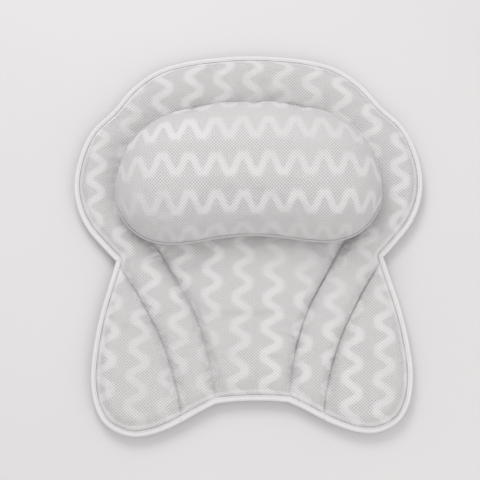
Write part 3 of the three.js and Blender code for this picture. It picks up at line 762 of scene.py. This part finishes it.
def inflate(made, pinned, pressure, shrink, cap, frames, quality):
    """Blows a closed cloth up, pinned points held, and caps each point's move at its own length."""
    before = positions(made)
    group = made.vertex_groups.new(name="held")
    for index in np.flatnonzero(pinned):
        group.add([int(index)], 1.0, "REPLACE")
    cloth = made.modifiers.new("cloth", "CLOTH")
    cloth.settings.quality = quality
    cloth.settings.vertex_group_mass = "held"
    cloth.settings.use_pressure = True
    cloth.settings.uniform_pressure_force = pressure
    cloth.settings.shrink_min = shrink
    cloth.settings.effector_weights.gravity = 0
    cloth.point_cache.frame_start, cloth.point_cache.frame_end = 1, frames
    for number in range(1, frames + 1):
        bpy.context.scene.frame_set(number)
    keep_result(made)
    made.vertex_groups.clear()
    bpy.context.scene.frame_set(1)
    move = positions(made) - before
    size = np.linalg.norm(move, axis=1)[:, None]
    capped = before + move * np.minimum(1, cap[:, None] / np.maximum(size, 1e-9))
    made.data.vertices.foreach_set("co", capped.ravel())
    return float(size.max())


PUFF_CAP = 2 * MM


def slack(points):
    """How far points lie beyond the cloth that the tape and the seams hold."""
    gaps = [nearest(points, closed_outline)[0] - RIDGE_INSET - RIDGE_WIDTH]
    gaps += [nearest(points, seam)[0] - 1 * MM for seam in seams]
    return np.min(gaps, 0)


def puff(made):
    """Inflates the panels of one front between the lines that are sewn down."""
    at = positions(made)
    held = (slack(at[:, :2]) < 0) | (at[:, 2] < SEAM_LEVEL - 2 * MM)
    cap = np.where(held, 0.0, PUFF_CAP)
    furthest = inflate(made, held, pressure=2.0, shrink=-0.03, cap=cap, frames=10, quality=4)
    print(f"{made.name}: the furthest point wanted to move {furthest / MM:.1f} mm")


# %% [markdown]
# Now the three fronts are made. The pad rides on its own body, and each wing's front stays where it
# is made. Where the jacquard lies differs from piece to piece, as it does where pieces are cut from
# one cloth.

# %% Fronts of the pad and the wings
pad_place = on_cloth(points, 0, -4.7 * MM)
pad_front = slab("quilted_pad_front", points, triangles[region == 0], top, bottom, pad_place, pad_cloth)
puff(pad_front)
attach(pad_front, 0, "face_mesh", "pad_face_mesh", "pad_spacer_core")
for side, sign, shifts in (("right", 1, (12.5 * MM, -18.2 * MM)), ("left", -1, (3 * MM, -11.5 * MM))):
    place = on_cloth(points, *shifts)
    chosen = triangles[region == sign]
    wing_front = slab(f"{side}_wing_front", points, chosen, top, bottom, place, pad_cloth)
    puff(wing_front)
    attach(wing_front, side, "face_mesh", f"{side}_wing_face_mesh", f"{side}_wing_spacer_core")
print("fronts made:", len(pad_front.data.polygons), "faces on the pad")

# %% [markdown]
# ## The back mesh
#
# Behind the spacer lies a plainer mesh, sewn down along the same lines. It is a thin slab over a
# coarser plan, drawn in a little where the stitches pull it, with round holes that the necks of the
# suction cups pass through.

# %% Back mesh of the pad and the wings
cup_places = {
    name: sum(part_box(name), Vector()) / 2 for name in frame["nodes"] if name.endswith("suction_cup")
}
NECK_HOLE = 4.5 * MM
HOLE_SIDES = 20


def to_cup(points):
    """Distance to the axis of the nearest cup."""
    return np.min([np.hypot(*(points - (c.x, c.y)).T) for c in cup_places.values()], 0)


def rear_plan():
    """The coarser plan with a ring of points round each neck hole, and the holes left open."""
    place, triangles, region = plan(5 * MM, np.array([3.6, 6, 8]) * MM, np.array([1.5, 4]) * MM, 2)
    keep = np.flatnonzero(to_cup(place) >= NECK_HOLE + 2.5 * MM)
    renamed = {old: new for new, old in enumerate(keep)}
    sheets = (triangles, triangles[region == 1], triangles[region == -1])
    held = [(renamed[a], renamed[b]) for sheet in sheets for a, b in borders(sheet)]
    radii = (NECK_HOLE, NECK_HOLE + 2 * MM)
    rings = [(c.x, c.y) + circle(r, HOLE_SIDES) for c in cup_places.values() for r in radii]
    place, triangles, middles = filled([*place[keep], *np.vstack(rings)], held, [])
    kept = inside(middles, tucked) & (to_cup(middles) >= 0.97 * NECK_HOLE)
    return place, triangles[kept], regions(middles[kept])


rear_points, rear_triangles, rear_region = rear_plan()
pull = np.zeros(len(rear_points))
for seam in seams:
    distance, _ = nearest(rear_points, seam)
    pull = np.maximum(pull, 0.5 * MM * np.exp(-distance / (2.5 * MM)))
rear_bottom = np.full(len(rear_points), REAR_BOTTOM) + pull
rear_top = np.full(len(rear_points), REAR_TOP)
rear_place = np.c_[rear_points[:, 1], rear_points[:, 0], np.zeros(len(rear_points))]
for side, sign in ((0, 0), ("right", 1), ("left", -1)):
    chosen = rear_triangles[rear_region == sign]
    name, node = "pad_back_mesh", "pad_rear_mesh"
    if side:
        name, node = f"{side}_wing_back", f"{side}_wing_rear_mesh"
    back = slab(name, rear_points, chosen, rear_top, rear_bottom, rear_place, back_cloth)
    attach(back, side, "rear_mesh", node)
print("back mesh:", len(rear_triangles), "triangles")

# %% [markdown]
# ## The edge tape
#
# A ribbon is folded over the edge of all the layers and sewn through near its inner edges. It is
# swept round the outline: at every point of the outline the same U-shaped section stands on the
# inward direction. Both limbs are pressed in along the stitches, in time with them.

# %% Section of the folded tape
STITCH_PITCH = 3.4 * MM
STITCH_INSET = 4.2 * MM  # from the tape's outer edge to its row of stitches
TAPE_THICKNESS = 1.0 * MM
middle_level = (TAPE_BOTTOM + TAPE_TOP) / 2
half_height = (TAPE_TOP - TAPE_BOTTOM) / 2


def tape_section():
    """Pairs of inset and height, along the tape's outer face from below to above, and along its inner."""
    turn = np.linspace(-np.pi / 2, np.pi / 2, 9)
    nose = [(2.4 * MM * (1 - math.cos(t)), half_height * math.sin(t)) for t in turn]
    limb = [*(np.array([2.6, 3.1, 3.6, 4.2, 4.8, 5.4]) * MM), TAPE_WIDTH]
    outer = [(d, -half_height) for d in limb[::-1]] + nose + [(d, half_height) for d in limb]
    inner_height = half_height - TAPE_THICKNESS
    round_inside = [(1.6 * MM * (1 - math.cos(t)), inner_height * math.sin(t)) for t in turn[::-2]]
    inner_nose = [(TAPE_THICKNESS + d, level) for d, level in round_inside]
    inner = [(TAPE_WIDTH - 0.15 * MM, inner_height), *inner_nose, (TAPE_WIDTH - 0.15 * MM, -inner_height)]
    return np.array(outer), np.array(inner)


outer_section, inner_section = tape_section()
outer_steps = np.concatenate([[0], np.cumsum(np.hypot(*np.diff(outer_section, axis=0).T))])
around = np.concatenate([outer_steps, np.linspace(outer_steps[-1], 0, len(inner_section) + 2)[1:-1]])
print("tape section:", len(around), "points round it")


# %% One run of tape
def tape_along(first, last, name):
    """One run of tape between two points of the outline."""
    index = np.arange(first, last + 1) % len(outline)
    path, towards = outline[index], edge_inward[index]
    along = lengths(path) + first * EDGE_STEP
    section = np.vstack([outer_section, inner_section])
    rings = []
    for p, n, s in zip(path, towards, along):
        inset, level = section.T.copy()
        wobble = 0.25 * MM * noise.noise(Vector((s * 60, 0.0, 5.0)))
        press = 0.55 + 0.2 * math.cos(2 * math.pi * s / STITCH_PITCH)
        squeeze = press * MM * np.exp(-(((inset - STITCH_INSET) / (0.7 * MM)) ** 2)) * np.sign(level)
        crown = 0.2 * MM * np.sin(np.clip(inset / TAPE_WIDTH, 0, 1) * np.pi) * np.sign(level)
        on_outside = np.arange(len(section)) < len(outer_section)
        level = level + np.where(on_outside, crown - squeeze - 0.2 * MM * np.sign(level), 0)
        inset = inset + wobble * (inset / TAPE_WIDTH)
        rings.append(np.c_[p + n * inset[:, None], middle_level + level])
    faces = skin(len(rings), len(section)) + caps(len(rings), len(section))
    spots = [(s, w, 0) for s in along for w in around]
    return piece(name, np.vstack(rings), faces, spots, tape_cloth)


# %% [markdown]
# Stitches are short loops of yarn that dive into the cloth at both ends. One stitch is a bent
# capsule, and a row of them is one mesh, so that a seam stays one piece.


# %% Rows of stitches
STATIONS, SIDES = 7, 6  # rings along one stitch, and points round each ring


def stitches(name, path, level, up, radius, pitch):
    """A row of stitches along a path, on the side that up points to."""
    total = lengths(path)
    centres = np.arange(0.8 * pitch, total[-1] - 0.5 * pitch, pitch)
    share = np.tile(np.linspace(-0.5, 0.5, STATIONS), len(centres))
    s = np.repeat(centres, STATIONS) + share * 0.86 * pitch
    ax, ay = (read_off(s + 0.1 * MM, total, path) - read_off(s - 0.1 * MM, total, path)).T
    across = np.c_[-ay, ax] / np.hypot(ax, ay)[:, None]
    height = np.interp(s, total, level) + up * radius * (1.6 * np.cos(np.pi * share) - 0.9)
    thick = radius * (0.55 + 0.45 * np.cos(np.pi * share))
    turn = turns(SIDES)
    wide, high = (thick[:, None] * part for part in (np.cos(turn), np.sin(turn)))
    flat = read_off(s, total, path)[:, None] + across[:, None] * wide[..., None]
    vertices = np.dstack([flat, height[:, None] + high]).reshape(-1, 3)
    one = skin(STATIONS, SIDES) + caps(STATIONS, SIDES)
    starts = range(0, len(vertices), STATIONS * SIDES)
    faces = [tuple(start + i for i in face) for start in starts for face in one]
    spots = np.c_[np.repeat(s, SIDES), np.tile(turn * radius, len(s)), np.zeros(len(vertices))]
    return piece(name, vertices, faces, spots, thread_yarn)


def tape_stitches(name, first, last, up):
    index = np.arange(first, last + 1) % len(outline)
    path = outline[index] + STITCH_INSET * edge_inward[index]
    level = middle_level + up * (half_height - 0.55 * MM)
    return stitches(name, path, np.full(len(path), level), up, 0.32 * MM, STITCH_PITCH)


# %% [markdown]
# The tape runs round in four pieces: one along each wing, one at the head end and one at the foot
# end. Each run gets a row of stitches above and one below.

# %% Tape round the pad and the wings
tape_runs = [
    ("right_wing_tape", ends[0], ends[1], "right", "right_wing_binding"),
    ("head_end_tape", ends[1], ends[2], 0, "head_end_binding"),
    ("left_wing_tape", ends[2], ends[3], "left", "left_wing_binding"),
    ("foot_end_tape", ends[3], len(outline), 0, "foot_end_binding"),
]
for name, first, last, side, node in tape_runs:
    attach(tape_along(first, last, name), side, "binding_tape", node)
    for up, where in ((1, "upper"), (-1, "lower")):
        attach(tape_stitches(f"{name}_{where}_stitches", first, last, up), side, "sewing_thread")
print("tape runs:", [name for name, *_ in tape_runs])

# %% [markdown]
# The quilting seams get the same stitches, at the bottom of their grooves. The outer seams' rows
# lie on the pad's side of the fold, so they ride on the pad.

# %% Stitches of the quilting seams
SEAM_STITCH = 3.8 * MM
SEAM_CLEAR = 6.5 * MM  # from a seam's end on the outline to its first stitch


def seam_stitches(name, seam, node):
    clear = SEAM_CLEAR / lengths(seam)[-1]
    path = part_of(seam, clear, 1 - clear, EDGE_STEP)
    level = front_height(path) + 0.25 * MM
    attach(stitches(name, path, level, 1, 0.4 * MM, SEAM_STITCH), 0, "sewing_thread", node)


seam_stitches("inner_seam_stitches", inner_seam, "inner_seam_thread")
seam_stitches("right_seam_stitches", outer_seam, "right_seam_thread")
seam_stitches("left_seam_stitches", mirrored(outer_seam), "left_seam_thread")
print("seam stitches:", SEAM_STITCH / MM, "mm from one to the next")

# %% [markdown]
# ## The head cushion
#
# The cushion is a bean-shaped cover filled tight. Its crown is high and round, its lower edge
# curves in, and its underside lies flat on the pad. First a closed form is made in rings: each ring
# of the outline is moved inwards and up along a round profile. Then the form is remeshed evenly
# and inflated like the fronts, with its edge seam and its base pinned, which draws small gathers
# along the seam as a real cover has.

# %% The cushion's starting form
HEAD_HALF_WIDTH, HEAD_HALF_LENGTH = 147 * MM, 80.5 * MM
HEAD_CENTRE_Y = 69 * MM
SPINE_REACH, SPINE_RISE = 0.5 * HEAD_HALF_WIDTH, -0.05 * HEAD_HALF_LENGTH
SHOULDER = 76 * MM
TUCK_REACH, TUCK_DROP = 18 * MM, HEAD_SEAM - HEAD_BASE
FULLNESS = 2.4

head_line = smooth(both_halves(np.array(HEAD) * (HEAD_HALF_WIDTH, HEAD_HALF_LENGTH) + (0, HEAD_CENTRE_Y)))
head_loop = part_of(head_line, 0, 1, 3 * MM)[:-1]
closed_head = closed(head_loop)


def dome_height(points):
    """The cushion's crown over the plan, from its distance to the edge seam."""
    distance, _ = nearest(points, closed_head)
    share = np.clip(distance / SHOULDER, 0, 1)
    return HEAD_SEAM + (HEAD_TOP - HEAD_SEAM) * np.sqrt(1 - (1 - share) ** FULLNESS)


def base_height(points):
    distance, _ = nearest(points, closed_head)
    share = np.clip(distance / TUCK_REACH, 0, 1)
    return HEAD_SEAM - TUCK_DROP * (1 - (1 - share) ** 2)


def on_spine(points):
    """The place on the cushion's middle line that each point leans towards."""
    reached = np.clip(points[:, 0], -SPINE_REACH, SPINE_REACH)
    return np.c_[reached, np.full(len(points), HEAD_CENTRE_Y + SPINE_RISE)]


def cushion_form():
    """Rings from the seam up over the crown and down under the base."""
    towards = on_spine(head_loop) - head_loop
    span = np.linalg.norm(towards, axis=1)[:, None]
    ray = towards / span

    def rings(insets, height):
        made = []
        for inset in insets:
            at = head_loop + ray * np.minimum(inset, 0.93 * span)
            made.append(np.c_[at, height(at)])
        return made

    over = rings([SHOULDER * (1 - math.cos(t)) for t in np.linspace(0, 1.35, 18)], dome_height)
    under = rings([*(np.array([0.5, 2, 5, 9, 14]) * MM), TUCK_REACH, 40 * MM], base_height)
    layers = under[::-1] + over
    faces = skin(len(layers), len(head_loop)) + caps(len(layers), len(head_loop))
    mesh = bpy.data.meshes.new("head_cushion")
    mesh.from_pydata(np.vstack(layers).tolist(), [], faces)
    return placed("head_cushion", mesh)


def settle(made, kind, **settings):
    """Adds one modifier and keeps its result as the mesh."""
    modifier = made.modifiers.new(kind, kind)
    for name, value in settings.items():
        setattr(modifier, name, value)
    bpy.context.view_layer.update()
    keep_result(made)


cushion = cushion_form()
settle(cushion, "REMESH", mode="VOXEL", voxel_size=5 * MM)
print("cushion form:", len(cushion.data.vertices), "points after remeshing")

# %% [markdown]
# The remeshed form is inflated a little harder than the fronts. Its seam and its base are pinned,
# and the cap grows with the height above the seam, so that the cover stays drawn in there. One
# subdivision then smooths the 5 mm cells.

# %% Inflating the cushion
at = positions(cushion)
held = (np.abs(at[:, 2] - HEAD_SEAM) < 3 * MM) | (at[:, 2] < HEAD_BASE + 1.5 * MM)
cap = 3 * MM * np.clip((np.abs(at[:, 2] - HEAD_SEAM) - 2 * MM) / (16 * MM), 0, 1)
furthest = inflate(cushion, held, pressure=3.0, shrink=-0.03, cap=cap, frames=20, quality=5)
print(f"inflated; the furthest point wanted to move {furthest / MM:.1f} mm")
settle(cushion, "SUBSURF", levels=1)

# %% [markdown]
# Remeshing removes fine seams, so the edge seam comes after it: the cover is drawn in along it.
# Then each point gets its place on the cloth. The rows of the pattern keep their distance along the
# curved cover, not along the floor, so each point's place moves outwards by the length that the
# cover's slope adds to its way.


# %% The cushion's seam and the place of its cloth
def rolled_out(at):
    """Each point's place on the cushion's cover, as if its sides were rolled out flat."""
    inset = SHOULDER * (1 - np.cos(np.linspace(0, np.pi / 2, 120)))
    rise = HEAD_SEAM + (HEAD_TOP - HEAD_SEAM) * np.sqrt(1 - (1 - inset / SHOULDER) ** FULLNESS)
    section = np.c_[inset, rise]
    whole = lengths(section)[-1]
    gap, seam_place = nearest(at[:, :2], closed_head)
    _, way = nearest(np.c_[gap, at[:, 2]], section)
    spare = (whole - way) - (SHOULDER - np.minimum(gap, SHOULDER))
    below = at[:, 2] < HEAD_SEAM
    spare[below] = whole - SHOULDER + gap[below] + np.hypot(gap, HEAD_SEAM - at[:, 2])[below]
    outwards = -read_off(seam_place, lengths(closed_head), closed(inward(head_loop, 4)))
    return at[:, :2] + outwards * spare[:, None] - (0, HEAD_CENTRE_Y + SPINE_RISE)


CHANGES_AT = np.array([-72, -60, 14, 26]) * MM  # between the rows of bands, up the rolled-out cover
at = positions(cushion)
near_seam = np.exp(-(((at[:, 2] - HEAD_SEAM) / (3 * MM)) ** 2))
draw = on_spine(at) - at[:, :2]
draw /= np.maximum(np.linalg.norm(draw, axis=1), 1e-9)[:, None]
gap, seam_place = nearest(at[:, :2], closed_head)
rim = np.abs(at[:, 2] - HEAD_SEAM) < 1 * MM
print(f"the cover lies {gap[rim].mean() / MM:.2f} mm inside its seam line")
rim_folds = gathers(np.abs(at[:, 2] - HEAD_SEAM), seam_place, 9 * MM, 0.3 * MM, 7 * MM)
rim_folds *= gap < 15 * MM
at[:, :2] += draw * (rim_folds - (gap[rim].mean() - 0.3 * MM) * near_seam)[:, None]
slow = drifting(at * 16)
at[:, 2] += 0.8 * MM * slow * np.clip((at[:, 2] - HEAD_SEAM) / (20 * MM), 0, 1)
at[:, 2] = np.minimum(at[:, 2], HEAD_TOP + 1 * MM)
cushion.data.vertices.foreach_set("co", at.ravel())
spread = rolled_out(at)
# The top rows get a positive third number, which paints them lighter as a highlight where light falls
# from above; the lowest rows get a negative one, and their bands are faint.
spots = np.c_[spread, np.interp(spread[:, 1], CHANGES_AT, [-0.45 * MM, 0, 0, 0.2 * MM])]
kept = cushion.data.attributes.new("place", "FLOAT_VECTOR", "POINT")
kept.data.foreach_set("vector", spots.astype(np.float32).ravel())
cushion.data.materials.clear()
cushion.data.materials.append(head_cloth)
cushion.data.materials.append(back_cloth)
for face in cushion.data.polygons:
    face.use_smooth = True
    face.material_index = int(face.center.z < HEAD_SEAM)
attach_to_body(cushion, "back_pad")
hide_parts("head_cushion_face_mesh", "head_cushion_fill", "head_cushion_back_mesh")
print("cushion:", len(at), "points")


# %% [markdown]
# A narrow welt closes the cushion's edge seam: a strip of tape folded round a cord. It is swept
# along the seam line as a round section, a little flattened, with a slow unevenness.


# %% The cushion's welt
def welt():
    towards = -inward(head_loop, 3)
    radius = 0.58 * (WELT_HIGH - WELT_LOW)
    ring = turns(12)
    along = lengths(closed_head)[:-1]
    rings = []
    for p, n, s in zip(head_loop, towards, along):
        rise = 0.35 * MM * noise.noise(Vector((s * 25, 2.0, 0.0)))
        out = 0.7 * MM + radius * np.cos(ring)
        rings.append(np.c_[p + n * out[:, None], HEAD_SEAM + rise + 0.95 * radius * np.sin(ring)])
    faces = [face[::-1] for face in skin(len(rings), len(ring), joined=True)]
    spots = [(s, a * radius, 0) for s in along for a in ring]
    # Its finish is painted darker than the edge tape: painted shade under the cushion's overhang.
    return piece("head_cushion_piping", np.vstack(rings), faces, spots, shaded_piping_cloth)


attach(welt(), 0, "binding_tape", "head_cushion_welt")
print(f"welt: {lengths(closed_head)[-1] / MM:.0f} mm round")

# %% [markdown]
# ## Patches and suction cups
#
# Each cup hangs by its mushroom button from a square patch that is sewn to the back mesh. The
# patch is a rounded square with a hole and a row of stitches. The cup is turned: its profile is
# drawn from the CAD cup's own box, rounded where a mould would round it, and spun in many steps.


# %% Patches
def rounded_square(half, corner, steps):
    turn = np.linspace(0, np.pi / 2, steps)
    x, y = half - corner + corner * np.cos(turn), half - corner + corner * np.sin(turn)
    return np.vstack([np.c_[x, y], np.c_[-y, x], np.c_[-x, -y], np.c_[y, -x]])


def patch(name, node, side):
    low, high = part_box(node)
    centre, half = (low + high) / 2, (high.x - low.x) / 2
    square = rounded_square(half, 6 * MM, 6)
    count, thick = len(square), high.z - low.z
    hole = NECK_HOLE * square / np.linalg.norm(square, axis=1)[:, None]
    shares = [(0, 0.35), (0.03, 0), (0.08, 0), (0.3, 0), (0.6, 0), (0.92, 0), (1, 0.3)]
    lower = [
        np.c_[square + (hole - square) * share, np.full(count, low.z + lift * thick)]
        for share, lift in shares
    ]
    upper = [np.c_[ring[:, :2], np.full(count, high.z)] for ring in lower[::-1]]
    rings = lower + upper
    vertices = np.vstack(rings) + (centre.x, centre.y, 0)
    faces = [face[::-1] for face in skin(len(rings), count, joined=True)]
    made = piece(name, vertices, faces, vertices, patch_cloth)
    attach(made, side, "patch_fabric", node)
    line = rounded_square(half - 2.5 * MM, 4.5 * MM, 8) + (centre.x, centre.y)
    path = part_of(closed(line), 0, 1, 1 * MM)
    row = stitches(f"{name}_stitches", path, np.full(len(path), low.z + 0.05 * MM), -1, 0.3 * MM, 3 * MM)
    attach(row, side, "sewing_thread")


patch_nodes = sorted(node for node in frame["nodes"] if node.endswith("cup_patch"))
for node in patch_nodes:
    patch(node.replace("cup_patch", "patch"), node, node.split("_")[0] if "wing" in node else 0)
print("patches:", len(patch_nodes))


# %% [markdown]
# The cup's profile goes from the middle of its hollow out over the thin lip and up to the button.
# It is spun with as many sides as make its edge look round, and rides on its own body, because each
# cup turns on its button.


# %% Suction cups
CUP_RADIUS, CUP_HEIGHT = 22, 16  # of the cup that the profile below is drawn for, mm


def cup_profile(radius, height):
    hollow = [(0, 5.5), (4, 5.4), (8, 5.0), (12, 4.1), (16, 2.8), (19.5, 1.2), (21.2, 0.25)]
    lip = [(21.7, 0), (22, 0.25), (21.9, 0.6)]
    back = [(20.5, 1.9), (18, 3.6), (15, 5.4), (12, 7.2), (9.6, 8.7), (8.4, 9.3), (7.4, 9.5)]
    neck = [(5, 9.5), (4.2, 9.7), (4, 10.4), (4, 12.2), (4.3, 12.9)]
    button = [(6.9, 13), (7.4, 13.2), (7.5, 13.7), (7.2, 14.5), (6, 15.5), (4.6, 15.95), (2, 16), (0, 16)]
    scale = min(radius / CUP_RADIUS, height / CUP_HEIGHT)
    return np.array(hollow + lip + back + neck + button) * scale


def suction_cup(node):
    low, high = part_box(node)
    centre = (low + high) / 2
    profile = cup_profile((high.x - low.x) / 2, high.z - low.z)
    sides, rows = 64, len(profile) - 2
    rings = [np.c_[circle(r, sides), np.full(sides, z)] for r, z in profile[1:-1]]
    deepest, highest = (0, 0, profile[0, 1]), (0, 0, profile[-1, 1])
    top_row, last = 1 + (rows - 1) * sides, 1 + rows * sides
    faces = [(0, 1 + (i + 1) % sides, 1 + i) for i in range(sides)]
    faces += [tuple(1 + i for i in face) for face in skin(rows, sides)]
    faces += [(top_row + i, top_row + (i + 1) % sides, last) for i in range(sides)]
    vertices = np.vstack([deepest, *rings, highest]) + (centre.x, centre.y, low.z)
    made = piece(node.replace("suction_cup", "cup"), vertices, faces, vertices, cup_vinyl)
    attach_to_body(made, node)
    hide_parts(node)


for node in sorted(cup_places):
    suction_cup(node)
print("cups:", len(cup_places))

# %% [markdown]
# ## Floor, light and camera
#
# A pale floor and soft lamps show white cloth best when the light comes from one side: here from
# the head end, a little from the left, so that the cushion casts its soft shadow towards the foot
# end. The camera looks down at the pad from the foot side, as steeply as in the photograph.


# %% Floor
def floor_finish():
    made = Finish("studio_floor", Specular_IOR_Level=0.2)
    coords = made.node("ShaderNodeTexCoord", {}, {})
    made.vector = coords.outputs["Object"]
    cloud = made.noise(3, 2.0)
    colour = made.mix(cloud, tint(229), tint(223))
    return made.finish(colour, cloud * 0.1 + 0.8, cloud, 0.01 * MM)


bpy.ops.mesh.primitive_plane_add(size=30, location=(0, 0, 0))
floor = bpy.context.object
floor.name = "floor"
floor.data.materials.append(floor_finish())
print("floor:", floor.dimensions.x, "m wide")


# %% Lights
def lamp(name, place, size, power):
    """A square lamp that shines at the middle of the pad."""
    light = bpy.data.lights.new(name, "AREA")
    light.size, light.energy = size, power
    made = placed(name, light)
    made.location = place
    made.rotation_euler = (-Vector(place)).to_track_quat("-Z", "Y").to_euler()


lamp("key", (-0.3, 0.85, 1.2), 0.7, 7.2)
lamp("fill", (0.5, -0.9, 1.2), 1.4, 5.8)
world = bpy.data.worlds.new("studio")
bpy.context.scene.world = world
world.use_nodes = True
tree = world.node_tree
paths = tree.nodes.new("ShaderNodeLightPath")
seen = tree.nodes.new("ShaderNodeMath")
seen.operation = "MAXIMUM"
tree.links.new(paths.outputs["Is Camera Ray"], seen.inputs[0])
tree.links.new(paths.outputs["Is Glossy Ray"], seen.inputs[1])
strength = tree.nodes.new("ShaderNodeMapRange")
strength.inputs["To Min"].default_value, strength.inputs["To Max"].default_value = 0.64, 0.8
tree.links.new(seen.outputs[0], strength.inputs["Value"])
tree.links.new(strength.outputs[0], tree.nodes["Background"].inputs["Strength"])
tree.nodes["Background"].inputs["Color"].default_value = (1, 1, 1, 1)
print("lamps:", [light.name for light in bpy.data.lights])


# %% Camera
ELEVATION, ROLL = math.radians(77.06), math.radians(-0.91)
DISTANCE, FOCAL_PIXELS, FRAME_PIXELS, SENSOR = 1.2, 1063.4, 480, 36
OFFSET_RIGHT, OFFSET_DOWN = 9.4, -3.3  # where the aim point lies from the middle of the frame, pixels
forward = Vector((0, math.cos(ELEVATION), -math.sin(ELEVATION)))
right = Vector((1, 0, 0))
up = right.cross(forward)
camera_right = math.cos(ROLL) * right + math.sin(ROLL) * up
camera_up = math.cos(ROLL) * up - math.sin(ROLL) * right
lens = bpy.data.cameras.new("photo_camera")
lens.sensor_width, lens.lens = SENSOR, FOCAL_PIXELS / FRAME_PIXELS * SENSOR
camera = placed("photo_camera", lens)
camera.matrix_world = Matrix((camera_right, camera_up, -forward)).transposed().to_4x4()
pixel = DISTANCE / FOCAL_PIXELS
camera.location = Vector((0, 0, 0.02)) - DISTANCE * forward
camera.location -= OFFSET_RIGHT * pixel * camera_right - OFFSET_DOWN * pixel * camera_up
bpy.context.scene.camera = camera
bpy.context.scene.view_settings.view_transform = "Standard"
print(f"camera: lens {lens.lens:.1f} mm, {DISTANCE} m from the pad")
